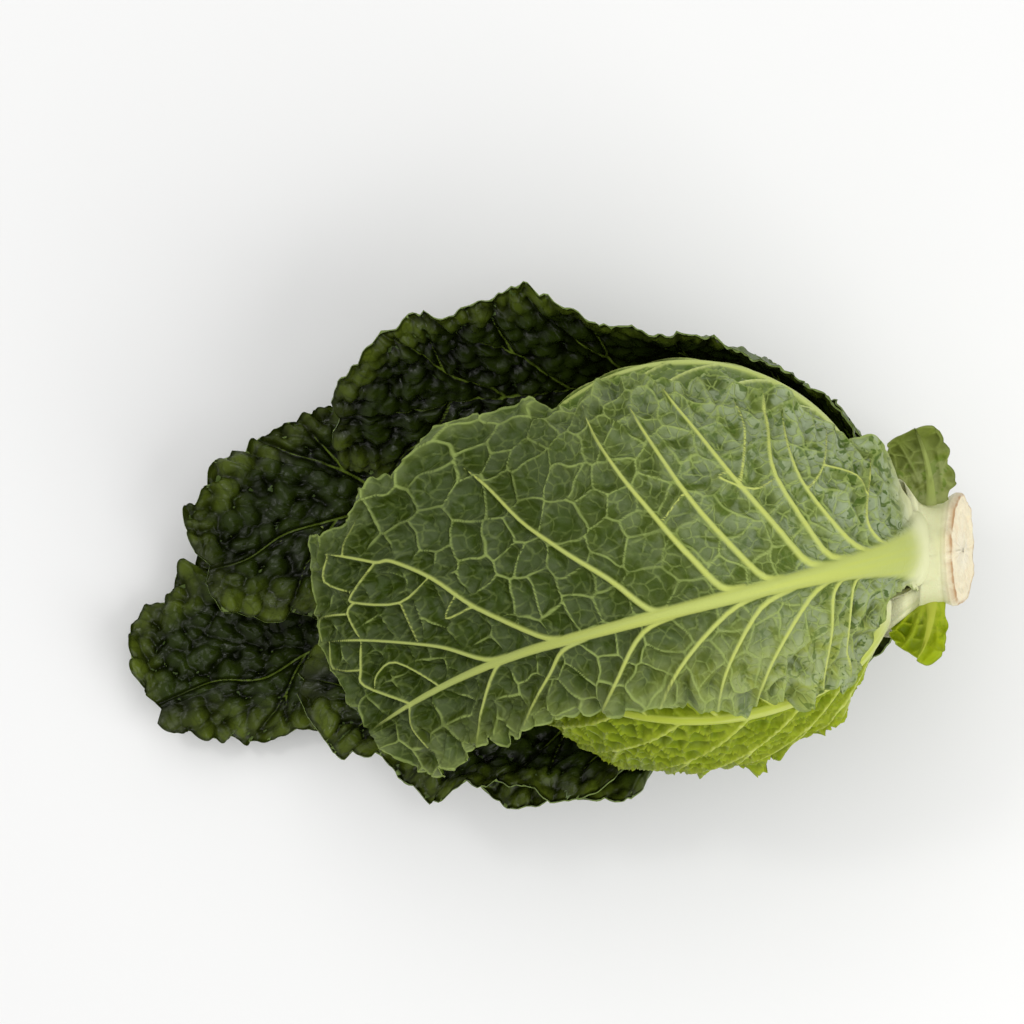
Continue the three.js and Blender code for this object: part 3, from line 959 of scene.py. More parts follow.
class Kind(Enum):
    """The kinds of leaf, the small ones beside the stem last."""

    FRONT = Dress(
        slot="leaf_under", outer=FRONT_UNDER, inner=GREEN_UPPER, step=0.66,
        relief=Relief(
            cell=11.0, head_depth=2.6, open_depth=4.4, roundness=1.8, lump=3.8, lump_depth=1.5,
            vein_height=1.2, net_half_width=0.8, net_height=0.6, ruffle=3.4, curl=1.6, side_veins=0,
            foot=8.0, lobes=4.2, ruffle_width=13.0, head_ruffle=1.0, bulge=2.0,
        ),
    )
    DARK = Dress(
        slot="leaf_dark", outer=DARK_UNDER, inner=DARK_UPPER, step=0.74, fine=Face.INNER,
        relief=Relief(
            cell=6.4, head_depth=2.4, open_depth=5.0, roundness=3.6, lump=3.0, lump_depth=0.9,
            vein_height=0.9, net_half_width=0.8, net_height=0.2, ruffle=2.6, curl=4.0, side_veins=6,
            vein_half_width=1.0, rib_bed=0.05, wander=3.2, bubbles=True, lobes=4.0, bulge=4.5,
        ),
    )
    GREEN = Dress(
        slot="leaf_green", outer=GREEN_UNDER, inner=GREEN_UPPER, step=1.1,
        relief=Relief(
            cell=8.5, head_depth=2.0, open_depth=2.2, roundness=2.2, lump=3.8, lump_depth=0.5,
            vein_height=1.0, net_half_width=0.9, net_height=0.4, ruffle=2.4, curl=1.5,
            head_ruffle=0.8,
        ),
    )
    YELLOW = Dress(
        slot="leaf_yellow", outer=YELLOW_UNDER, inner=YELLOW_UPPER, step=0.94,
        relief=Relief(
            cell=6.0, head_depth=3.2, open_depth=3.2, roundness=2.2, lump=3.0, lump_depth=1.0,
            vein_height=0.9, net_half_width=0.9, net_height=0.35, ruffle=5.0, curl=1.2, lobes=4.2,
            ruffle_width=16.0, head_ruffle=1.0, bulge=2.0, vein_half_width=0.8,
        ),
    )
    HEART = Dress(
        slot="leaf_pale", outer=PALE, inner=PALE, step=1.5,
        relief=Relief(
            cell=9.0, head_depth=1.2, open_depth=1.8, roundness=2.4, lump=4.0, lump_depth=0.3,
            vein_height=0.8, net_half_width=1.0, net_height=0.3, ruffle=1.2, curl=1.0,
        ),
    )
    UPPER_COLLAR = Dress(
        slot="leaf_green", outer=COLLAR_GREEN, inner=COLLAR_GREEN, relief=COLLAR_RELIEF, step=0.95,
    )
    LOWER_COLLAR = Dress(
        slot="leaf_yellow", outer=COLLAR_YELLOW, inner=COLLAR_YELLOW, relief=COLLAR_RELIEF,
        step=0.95,
    )


@dataclass
class Spine:
    """The midrib line of a leaf: points with outward and side directions, 1 mm apart."""

    radius: float
    hug: float
    length: float
    points: Array
    normals: Array
    sides: Array

    def at(self, s: Array) -> tuple[Array, Array, Array]:
        """Point, outward and side direction at places along the midrib.

        Args:
            s: Distances from the stem.

        Returns:
            Points, outward directions and side directions.
        """
        place = np.clip(s + ROOT_SAMPLES, 0, len(self.points) - 1.001)
        k = place.astype(int)
        f = (place - k)[..., None]
        found = [mix(line[k], line[k + 1], f) for line in (self.points, self.normals, self.sides)]
        for direction in found[1:]:
            direction /= np.linalg.norm(direction, axis=-1, keepdims=True)
        return tuple(found)

    def openness(self, s: Array) -> Array:
        """How far the blade has opened: 0 on the head, 1 well past it."""
        return smooth(s, self.hug + OPENING_START, self.hug + OPENING_LENGTH)


@dataclass
class Leaf:
    """One leaf: how it grows from the stem, and its blade."""

    name: str
    kind: Kind
    layer: int
    azimuth: float
    leave: float
    opening: float
    spread: float
    wide: float
    narrow: float
    rows: int
    rib: float
    frill: float
    phase: float
    bend: float = 0.0
    drift: float = 0.0
    sector: tuple[float, float] = (57.0, 57.0)
    ends: tuple[Outline, Outline] = (Outline.ROUND, Outline.ROUND)
    heading: float = 0.0
    roll: float = 0.0
    edgewise: bool = False
    fan: float = 0.0
    rests: bool = False
    seed: int = 1
    coarser: float = 1.0
    veins: list[Vein] = field(default_factory=list)

    def grow(self) -> Spine:
        """Follows the midrib from the stem over the head and out to the tip.

        Returns:
            The midrib line.
        """
        radius = LAYER_RADIUS[self.layer]
        start = math.asin((STEM_RADIUS + STEM_GAP) / radius)
        hug = radius * (math.radians(self.leave) - start)
        length = hug + self.opening
        azimuth = math.radians(self.azimuth)
        out = np.array([0.0, math.sin(azimuth), math.cos(azimuth)])
        along = np.array([1.0, 0.0, 0.0])
        normal = along * math.cos(start) + out * math.sin(start)
        tip = out * math.cos(start) - along * math.sin(start)
        side = np.cross(tip, normal)
        point = HEAD + normal * radius
        if self.edgewise:
            normal, side = turned(normal, side, math.radians(self.roll))
        tip, side = turned(tip, side, math.radians(self.heading))
        roll_length = min(OPENING_LENGTH, self.opening / 2)
        lines = []
        for i in range(-ROOT_SAMPLES, 0):
            if self.edgewise:
                lines.append((point + tip * i, normal, side))
                continue
            sunk, _ = turned(normal, tip, i / radius)
            lines.append((HEAD + sunk * radius, sunk, side))
        for i in range(math.ceil(length * SPINE_SPARE) + 1):
            lines.append((point, normal, side))
            rolling = not self.edgewise and hug < i < hug + roll_length
            roll = math.radians(self.roll) / roll_length if rolling else 0.0
            bend = mix(-1 / radius, self.bend, float(smooth(i, hug, hug + UNBEND_LENGTH)))
            before = tip
            tip, normal = turned(tip, normal, bend)
            tip, side = turned(tip, side, self.drift)
            normal, side = turned(normal, side, roll)
            point = point + (before + tip) / 2
        points, normals, sides = (np.array(line) for line in zip(*lines))
        return Spine(radius, hug, length, points, normals, sides)

    def curve(self, spine: Spine, s: Array) -> Array:
        """Curvature across the blade: the head's on it, the blade's own past it."""
        return mix(1 / spine.radius, self.spread, spine.openness(s))

    def limit(self, spine: Spine, s: Array, half: int) -> Array:
        """Half width at which the blade would leave its sector round the stem axis.

        Args:
            spine: The midrib line.
            s: Distances along it.
            half: 0 for the narrow side, 1 for the wide side.

        Returns:
            The widest half width at each distance.
        """
        point, _, _ = spine.at(np.maximum(s, 0.0))
        away = np.hypot(point[..., 1], point[..., 2] - HEAD[2])
        curve = self.curve(spine, s)
        free = self.fan * spine.openness(s)
        angle = np.radians(mix(self.sector[half], FREE_SECTOR, free))
        return np.arctan(np.tan(angle) * away * curve) / curve

    def margin(self, spine: Spine, u: Array, half: int) -> tuple[Array, Array]:
        """The blade's margin on one side.

        Args:
            spine: The midrib line.
            u: Shares of the outline.
            half: 0 for the narrow side, 1 for the wide side.

        Returns:
            Places along the leaf, and half widths.
        """
        outline = self.ends[half]
        width = self.wide if half else self.narrow
        scallop = 1 + SCALLOP_DEPTH * np.sin(u * self.rows * SCALLOP_TURN + self.phase)
        along = spine.length * outline.along(u)
        across = np.minimum(width * outline.width(u) * scallop, self.limit(spine, along, half))
        return along, across

    def side_veins(self, spine: Spine) -> list[Vein]:
        """Forked side veins that leave the midrib in turn and curve towards the tip.

        Args:
            spine: The midrib line.

        Returns:
            The veins, or the leaf's own where it has some.
        """
        if self.veins:
            return self.veins
        relief = self.kind.value.relief
        draw = np.random.default_rng(self.seed + 40)
        u = np.linspace(0, 1, 60)
        veins = []
        for half in (0, 1):
            sign = 2 * half - 1
            margin_s, margin_t = self.margin(spine, u, half)
            for k in range(relief.side_veins):
                turn = k + 0.45 * half + 0.3 * draw.random()
                share = FIRST_VEIN + VEIN_SPAN * turn / relief.side_veins
                root = share * spine.length
                lean = 0.5 + 0.5 * share + 0.15 * draw.random()
                width = float(np.interp(root + 0.5 * self.narrow, margin_s, margin_t))
                path = []
                for f in np.linspace(0, 1, 6):
                    across = f * width * VEIN_REACH
                    stray = VEIN_STRAY * (draw.random() - 0.5) * (f > 0)
                    path.append((root + lean * across + stray + 0.12 * across * f, sign * across))
                half_width = relief.vein_half_width * (1.15 - 0.6 * share)
                veins.append(Vein(tuple(path), half_width, half_width * SIDE_VEIN_TIP))
                fork_s, fork_t = path[2]
                spread = width * 0.5
                fork = tuple(
                    (fork_s + 0.25 * f * spread * (1 + 0.4 * share), fork_t + sign * f * spread)
                    for f in np.linspace(0, 1, 4)
                )
                veins.append(Vein(fork, half_width * FORK_ROOT, half_width * FORK_TIP))
        return veins

    def build(self) -> bpy.types.Object:
        """Builds the blade as one closed mesh and dresses it.

        Returns:
            The leaf's object.
        """
        dress = self.kind.value
        spine = self.grow()
        step = dress.step * self.coarser
        rows = self.row_shares(spine, step)
        narrow = 2 * round(self.narrow / step / 2)
        wide = 2 * round(self.wide / step / 2)
        across = np.concatenate([np.linspace(-1, 0, narrow + 1), np.linspace(0, 1, wide + 1)[1:]])
        u, v = np.meshgrid(rows, across, indexing="ij")
        chance = Chance(self.seed)
        piece = self.mesh(self.faces(spine, self.places(spine, u, v, chance), chance))
        settle(piece, self.name, dress.slot, dress.outer, dress.inner)
        return piece

    def row_shares(self, spine: Spine, step: float) -> Array:
        """Shares of the blade's outline that set its rows about evenly apart.

        Args:
            spine: The midrib line.
            step: Distance from one row to the next.

        Returns:
            The share of each row, an odd number of them.
        """
        u = np.linspace(0, 1, 500)
        moves = np.abs(np.diff(spine.length * curve_value(RIB_ROWS, u)))
        for half in (0, 1):
            along, across = self.margin(spine, u, half)
            moves = moves + np.hypot(np.diff(along), np.diff(across))
        travelled = np.concatenate([[0.0], np.cumsum(moves / 3)])
        rows = 2 * round(travelled[-1] / step / 2)
        return np.interp(np.linspace(0, travelled[-1], rows + 1), travelled, u)

    def places(
        self, spine: Spine, u: Array, v: Array, chance: Chance
    ) -> tuple[Array, ...]:
        """Where each grid point lies on the leaf.

        Args:
            spine: The midrib line.
            u: Shares along the blade.
            v: Shares across it, -1 at one margin and 1 at the other.
            chance: The leaf's random fields.

        Returns:
            Places along (s) and across (t), shares u and v, and local half widths.
        """
        s = np.zeros_like(u)
        width = np.zeros_like(u)
        for half in (0, 1):
            along, across = self.margin(spine, u, half)
            here = (v > 0) == bool(half)
            lane = np.full_like(along, LANE * half)
            lobes = np.abs(chance.waves(along, lane, LOBE_LENGTH)) ** LOBE_BLUNTNESS
            lobes += FINE_LOBE * np.abs(chance.waves(along, lane + FINE_LANE, FINE_LOBE_LENGTH))
            small = np.minimum(1.0, across / FULL_LOBES)
            across = across + self.kind.value.relief.lobes * (lobes - 0.5) * small
            start = spine.length * curve_value(RIB_ROWS, u)
            s = np.where(here, mix(start, along, np.abs(v)), s)
            width = np.where(here, across, width)
        sunk = held(1 - u / ROOT_SHARE) ** 2
        return s - ROOT_DEPTH * sunk, v * width, u, v, width

    def faces(
        self, spine: Spine, places: tuple[Array, ...], chance: Chance
    ) -> dict[Face, dict[str, Array]]:
        """Both faces of the blade with their relief and the values for its colours.

        Args:
            spine: The midrib line.
            places: The grid's places from places().
            chance: The leaf's random fields.

        Returns:
            Points of each face, and the values that its material reads.
        """
        relief = self.kind.value.relief
        s, t, u, v, width = places
        inward = (1 - np.abs(v)) * width
        opened = spine.openness(s)

        # Cells of the net
        warp_s = s + WARP * chance.waves(s, t, WARP_LENGTH)
        warp_s += FINE_WARP * chance.waves(s + 250, t, FINE_WARP_LENGTH)
        warp_t = t + WARP * chance.waves(s + 400, t, WARP_LENGTH)
        warp_t += FINE_WARP * chance.waves(s + 650, t, FINE_WARP_LENGTH)
        edge, tone = chance.cells(warp_s, warp_t, relief.cell)

        # Nearness to the veins and to the midrib
        bent_s = s + relief.wander * chance.waves(s, t + 60, WANDER_LENGTH)
        bent_t = t + relief.wander * chance.waves(s + 900, t, WANDER_LENGTH)
        reaches = [vein.reach(bent_s, bent_t) for vein in self.side_veins(spine)]
        far = [np.full(s.shape, limit) for limit in (FAR_SHARE, FAR_SHARE, ANYWHERE)]
        share, ridge_share, clear = (np.minimum.reduce(near) for near in zip(far, *reaches))
        rib_half = mix(RIB_HALF_WIDTH, RIB_TIP_HALF_WIDTH, np.sqrt(u))
        rib_half = rib_half * (1 - RIB_THINNING * u**2) * min(1.0, self.rib / FULL_RIB)
        rib_half = rib_half * (1 - RIB_END_TAPER * smooth(u, RIB_END, 1.0))
        foot = held(1 - s / FOOT_LENGTH) ** 2
        rib_half = rib_half + relief.foot * foot
        rib_half = np.minimum(rib_half, width * mix(0.4, FOOT_SHARE, smooth(foot, 0.0, 0.5)))
        rib_share = np.abs(t) / np.maximum(rib_half, LEAST_RIB)
        clear = np.minimum(clear, np.abs(bent_t) - rib_half * relief.rib_bed)

        # Domes between the veins, and lumps on them
        bed = np.maximum(clear, 0.0)
        if relief.bubbles:
            small = FILLING * chance.bubbles(warp_s, warp_t + 300, relief.cell * FILLING)
            large = chance.bubbles(warp_s, warp_t, relief.cell)
            dome = np.maximum(large, small) * smooth(bed, *BUBBLE_EDGE)
            lumps = chance.bubbles(warp_s + 700, warp_t, relief.lump)
        else:
            in_cell = np.minimum(edge, bed)
            rise = held(in_cell / (relief.cell * DOME_RISE))
            dome = 1 - (1 - rise) ** relief.roundness
            dome = dome * (DOME_HEIGHT + DOME_CHANCE * tone)
            fine_edge, fine_tone = chance.cells(warp_s + 700, warp_t, relief.lump)
            fine_rise = held(fine_edge / (relief.lump * LUMP_RISE))
            lumps = (1 - (1 - fine_rise) ** 2) * (LUMP_HEIGHT + LUMP_CHANCE * fine_tone)
            lumps = mix(LEVEL_LUMP, lumps, smooth(in_cell, *LUMP_EDGE))
        off_rest = 1.0
        if self.rests:
            off_rest = smooth(np.hypot(s - spine.hug, t), REST_FLAT, REST_ROUND)
        root_reach = min(ROOT_REACH, ROOT_PART * spine.length)
        rooted = smooth(s, ROOT_BARE * root_reach, root_reach)
        room = off_rest * rooted * np.minimum(1.0, width / FULL_RELIEF)
        depth = mix(relief.head_depth, relief.open_depth, opened)
        lump_depth = relief.lump_depth * mix(LUMPS_ON_HEAD, 1.0, opened)
        blisters = depth * (dome - LEVEL_DOME) * room + lump_depth * (lumps - LEVEL_LUMP) * room

        # Middle of the blade, which domes at the margin push outward
        push = relief.bulge * (dome - LEVEL_PUSH) * room * held(1 - inward / PUSH_REACH) ** 2
        at_end = smooth(u, TIP_START, 1.0)
        pushed_s = s + push * at_end
        pushed_t = t + push * (1 - 0.5 * at_end) * np.sign(v)
        point, normal, side = spine.at(pushed_s)
        curve = self.curve(spine, pushed_s)[..., None]
        angle = curve * pushed_t[..., None]
        middle = point + side * np.sin(angle) / curve - normal * (1 - np.cos(angle)) / curve
        outward = normal * np.cos(angle) + side * np.sin(angle)

        # Waves of the margin
        past = held((np.abs(v) - MARGIN_START) / (1 - MARGIN_START)) ** 2
        half_turn = np.where(v > 0, 2.0, 0.0)
        frill = self.frill * mix(FRILL_ON_HEAD, 1.0, opened) * (1 - u**4)
        wave = frill * past * np.sin(u * self.rows * WAVE_TURN + self.phase + half_turn)
        near_rim = held(1 - inward / relief.ruffle_width)
        calm = mix(relief.head_ruffle, 1.0, opened) * off_rest * rooted
        lane = np.where(v > 0, 90.0, 60.0)
        ruffles = chance.waves(s, lane, RUFFLE_LENGTH)
        ruffles += FINE_RUFFLE * chance.waves(s + 300, lane, FINE_RUFFLE_LENGTH)
        wave += relief.ruffle * near_rim * calm * ruffles
        curls = CURL_SHARE + CURL_SHARE * chance.waves(s, t * 0 + 20.0, CURL_LENGTH)
        wave += relief.curl * near_rim**2 * calm * curls
        level = (wave - blisters)[..., None]

        # Ridges of the midrib, the veins and the net
        rib = self.rib * (1 - RIB_FADE * u) * np.sqrt(held(1 - rib_share**2))
        rib = rib * (1 - 0.5 * RIB_THINNING * u**2) * (1 - RIB_END_FALL * smooth(u, RIB_END, 1.0))
        vein = relief.vein_height * held(1 - (ridge_share / RIDGE_REACH) ** 2) ** 1.5 * rooted
        drawn = (1 - smooth(clear, *NEAR_VEIN)) * smooth(u, *NEAR_TIP)
        drawn = drawn * DRAWN_VEINS * bool(self.veins)
        strength = NET_STRENGTH + NET_SWING * chance.waves(s, t, NET_LENGTH)
        strength = strength * (1 - drawn)
        net = np.exp(-((edge / relief.net_half_width) ** 2)) * strength * rooted
        ridge = np.maximum(np.maximum(rib, vein), relief.net_height * net)[..., None]

        # Both faces, kept over the ground
        last = held(1 - inward / RIM_TAPER)
        thickness = mix(BLADE_THICKNESS, RIM_THICKNESS, last)[..., None]
        outer = middle + outward * (level + thickness / 2 + ridge)
        inner = middle + outward * (level - thickness / 2)
        outer[..., 2] = np.maximum(outer[..., 2], 0.0)
        lifted = np.where(outer[..., 2] < BLADE_THICKNESS, outer[..., 2] + BLADE_THICKNESS, 0.0)
        inner[..., 2] = np.maximum(inner[..., 2], lifted)

        # Values for the colours
        net_away = np.minimum(edge + 0.5 * drawn, FAR_SHARE)
        rib_away = np.minimum(rib_share, FAR_SHARE)
        line_away = np.abs(bent_t) / mix(INNER_LINE, INNER_LINE_TIP, u)
        line_away = np.minimum(line_away, FAR_SHARE)
        shared = {
            "spot": side_by_side(u, held(1 - inward / RIM_REACH), held(dome * room)),
            "leafmap": side_by_side(s / MAP_UNIT, t / MAP_UNIT, tone),
        }
        outer_ribs = side_by_side(share, rib_away, net_away)
        inner_ribs = side_by_side(share * INNER_VEIN, line_away, net_away)
        return {
            Face.OUTER: {"points": outer, "ribs": outer_ribs, **shared},
            Face.INNER: {"points": inner, "ribs": inner_ribs, **shared},
        }

    def mesh(self, faces: dict[Face, dict[str, Array]]) -> bpy.types.Object:
        """Joins both faces into one closed mesh; the face seen least is twice as coarse.

        Args:
            faces: The faces' points and values from faces().

        Returns:
            The leaf's object.
        """
        fine = self.kind.value.fine
        coarse = Face(1 - fine.value)
        values = {
            key: np.concatenate(
                [faces[fine][key].reshape(-1, 3), faces[coarse][key][::2, ::2].reshape(-1, 3)]
            )
            for key in faces[fine]
        }
        rows, columns, _ = faces[fine]["points"].shape
        fine_ids = numbered(rows, columns)
        coarse_ids = numbered(rows // 2 + 1, columns // 2 + 1, fine_ids.size)
        fine_quads = grid_quads(fine_ids, fine is Face.OUTER)
        coarse_quads = grid_quads(coarse_ids, coarse is Face.OUTER)
        rim = rim_triangles(loop_of(fine_ids), loop_of(coarse_ids), fine is Face.OUTER)
        polygons = fine_quads.tolist() + coarse_quads.tolist() + rim.tolist()
        piece = make_piece(f"{self.name}_blade", values.pop("points"), polygons, values)
        counts = (len(fine_quads), len(coarse_quads), len(rim))
        slots = np.repeat([fine.value, coarse.value, Face.OUTER.value], counts)
        piece.data.polygons.foreach_set("material_index", slots.astype(np.int32))
        return piece


def numbered(rows: int, columns: int, first: int = 0) -> Array:
    """Point numbers of a grid, row by row."""
    return np.arange(first, first + rows * columns).reshape(rows, columns)


def grid_quads(ids: Array, outer: bool) -> Array:
    """The four-sided faces of a grid of points.

    Args:
        ids: The points' numbers, row by row.
        outer: Whether the faces look outward.

    Returns:
        Four point numbers for each face.
    """
    a, b = ids[:-1, :-1], ids[1:, :-1]
    c, d = ids[1:, 1:], ids[:-1, 1:]
    order = (a, d, c, b) if outer else (a, b, c, d)
    return side_by_side(*order).reshape(-1, 4)


def ring_faces(rows: int, columns: int, outer: bool) -> list[list[int]]:
    """The faces of a closed skin of rings, with a cap at each end.

    Args:
        rows: Number of rings.
        columns: Points in each ring.
        outer: Whether the rings run so that grid faces look outward.

    Returns:
        Point numbers of each face.
    """
    ids = numbered(rows, columns)
    wrapped = np.concatenate([ids, ids[:, :1]], axis=1)
    caps = (ids[0], ids[-1, ::-1]) if outer else (ids[0, ::-1], ids[-1])
    return grid_quads(wrapped, outer).tolist() + [cap.tolist() for cap in caps]


def loop_of(ids: Array) -> Array:
    """The numbers round a grid's border, in one direction."""
    return np.concatenate([ids[0, :-1], ids[:-1, -1], ids[-1, :0:-1], ids[:0:-1, 0]])


def rim_triangles(fine: Array, coarse: Array, fine_outer: bool) -> Array:
    """The strip between a fine border and one with half as many points.

    Args:
        fine: The fine border's point numbers.
        coarse: The coarse border's point numbers.
        fine_outer: Whether the fine face is the outer one.

    Returns:
        Three point numbers for each triangle.
    """
    first = fine[0::2]
    middle = fine[1::2]
    last = np.roll(fine, -2)[0::2]
    there = np.roll(coarse, -1)
    strips = ((first, coarse, middle), (middle, there, last), (middle, coarse, there))
    triangles = np.concatenate([side_by_side(*strip) for strip in strips])
    return triangles[:, ::-1] if fine_outer else triangles


def make_piece(
    name: str, points: Array, polygons: list[list[int]], values: dict[str, Array]
) -> bpy.types.Object:
    """Makes an object from growing millimetres.

    Args:
        name: Name of the piece.
        points: Its points.
        polygons: Point numbers of each face.
        values: Three values for each point, by name, for the materials.

    Returns:
        The object, shaded smooth.
    """
    mesh = bpy.data.meshes.new(name)
    placed = (points.reshape(-1, 3) + FRAME_SHIFT) * METRE
    mesh.from_pydata(placed.tolist(), [], polygons)
    for key, numbers in values.items():
        layer = mesh.attributes.new(key, "FLOAT_VECTOR", "POINT")
        layer.data.foreach_set("vector", numbers.astype(np.float32).ravel())
    mesh.shade_smooth()
    mesh.update()
    return shown(bpy.data.objects.new(name, mesh))


def shown(thing: bpy.types.Object) -> bpy.types.Object:
    """Puts an object into the scene and hands it back."""
    bpy.context.scene.collection.objects.link(thing)
    return thing


def settle(
    piece: bpy.types.Object, node: str, slot: str, *finishes: LeafFinish | StemFinish
) -> None:
    """Dresses a piece and lets it stand for its node.

    Args:
        piece: The piece.
        node: The node that it replaces.
        slot: Not used.
        *finishes: Its finishes, in the order of its faces' numbers.
    """
    for finish in finishes:
        piece.data.materials.append(finish.material())
    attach(piece, "root")
    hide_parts(node)
    log.info("%s: %d faces", node, len(piece.data.polygons))


# Veins of the front leaf, as millimetres along and across it
FRONT_VEINS = [
    Vein(
        ((112, 1.2), (117.7, 2.8), (127, 14.8), (140, 27.5), (153, 40), (164, 54), (170, 62)),
        1.27, 0.38,
    ),
    Vein(
        ((88, 1.4), (95, 3.6), (101.6, 15.3), (110, 31.8), (118, 48), (124, 62), (128, 74)),
        1.36, 0.38,
    ),
    Vein(((75, 1.6), (83, 5), (95, 26.5), (105, 53.5), (110, 70)), 1.36, 0.46),
    Vein(((58, 2), (68, 6.6), (81, 30.8), (91, 57.5), (96, 72)), 1.44, 0.46),
    Vein(((82, 31.7), (77, 42), (73, 51.7), (72, 62)), 0.55, 0.35),
    Vein(((50, 2.2), (60, 7.2), (69.5, 32.2), (65, 50.5), (62, 62)), 1.36, 0.46),
    Vein(((40, 2.4), (50, 8.4), (60.5, 26), (61.5, 40.7), (58, 54)), 1.27, 0.38),
    Vein(((60.5, 26), (52, 32), (43.6, 44.8)), 0.49, 0.32),
    Vein(((32, 3.2), (40, 10), (39, 18), (28, 34)), 1.02, 0.34),
    Vein(
        ((148, 0.8), (157, 4), (176, 18.4), (187, 32.5), (198, 43), (204, 45.2), (214, 52),
         (220, 56)),
        1.10, 0.38,
    ),
    Vein(((172, 0.6), (180.5, 2), (193, 10.4), (203, 16), (221, 26), (237, 33)), 1.02, 0.34),
    Vein(((217, 0), (229, 13), (227, 18), (221, 26)), 0.55, 0.49),
    Vein(((204, 45), (216, 40), (217, 37), (201, 30), (187, 33)), 0.42, 0.43),
    Vein(((219.1, 55.4), (224, 48), (216, 40)), 0.37, 0.35),
    Vein(((217, 37), (221, 35), (221, 26)), 0.42, 0.43),
    Vein(((221, 35), (232, 39), (235, 32.1)), 0.37, 0.32),
    Vein(((201, 30), (201.6, 15.2)), 0.42, 0.35),
    Vein(((227, 18), (236, 23), (232.5, 31)), 0.37, 0.32),
    Vein(((202, 0), (213, 14), (222, 14), (226.3, 10.1)), 0.42, 0.32),
    Vein(((176.6, 19.1), (188, 19), (180.8, 24.6)), 0.37, 0.32),
    Vein(((214, 52), (211, 56), (205, 60)), 0.37, 0.32),
    Vein(((217, 0), (222, -7), (220, -16)), 0.42, 0.32),
    Vein(((82, -1.6), (95, -5), (115, -19), (127, -32), (133, -42)), 1.10, 0.38),
    Vein(((72, -1.8), (84, -6), (95.5, -18.8), (104, -32), (109, -44)), 1.10, 0.38),
    Vein(((57, -2), (67, -6.4), (80, -21), (88, -34), (92, -46)), 1.10, 0.38),
    Vein(((52, -2.2), (58, -7), (59.5, -19), (61, -33), (60, -42)), 0.94, 0.38),
    Vein(((44, -2.4), (50, -7), (52, -24), (50, -36)), 0.85, 0.34),
    Vein(((111, -1.4), (121.5, -4), (134.5, -15.3), (147, -26), (154, -36)), 1.02, 0.38),
    Vein(((140, -1), (150, -2.8), (159, -9), (174, -18), (184, -27)), 0.94, 0.34),
    Vein(((170, -0.6), (178, -1.8), (195, -15.5), (203, -25)), 0.85, 0.34),
    Vein(((83.4, 37.3), (87, 36), (78, 30), (70, 32)), 0.37, 0.35),
    Vein(((98, 34.6), (107.6, 27.2)), 0.30, 0.35),
    Vein(((51.7, 32.5), (40, 27), (38, 20)), 0.37, 0.35),
    Vein(((107.7, 27.2), (102, 15)), 0.30, 0.32),
]

# Veins of the collar leaves, the two small leaves beside the stem
UPPER_COLLAR_VEINS = [
    Vein(((1, -3), (9, -4), (18, -6), (26, -7)), 0.6, 0.25),
    Vein(((1, -5), (8, -8), (16, -11)), 0.5, 0.25),
    Vein(((1, 2), (10, 3), (19, 4)), 0.5, 0.25),
]
LOWER_COLLAR_VEINS = [
    Vein(((1, 3), (7, 4), (14, 5), (19, 6)), 0.6, 0.25),
    Vein(((1, 6), (6, 8), (12, 11)), 0.5, 0.25),
    Vein(((1, -1), (8, -3), (14, -4)), 0.5, 0.25),
]

# Leaves that differ little from one another
INNER_LEAF = Leaf(
    name="inner_lower_leaf", kind=Kind.YELLOW, layer=1, azimuth=-60, leave=148, opening=10,
    spread=0.012, wide=58, narrow=58, rows=14, rib=2.2, frill=1, phase=2.9, seed=29, coarser=1.7,
)
HEART_LEAF = Leaf(
    name="heart_leaf_top", kind=Kind.HEART, layer=0, azimuth=10, leave=160, opening=4, spread=0.016,
    wide=52, narrow=52, rows=14, rib=2, frill=0.6, phase=0.2, seed=41,
)

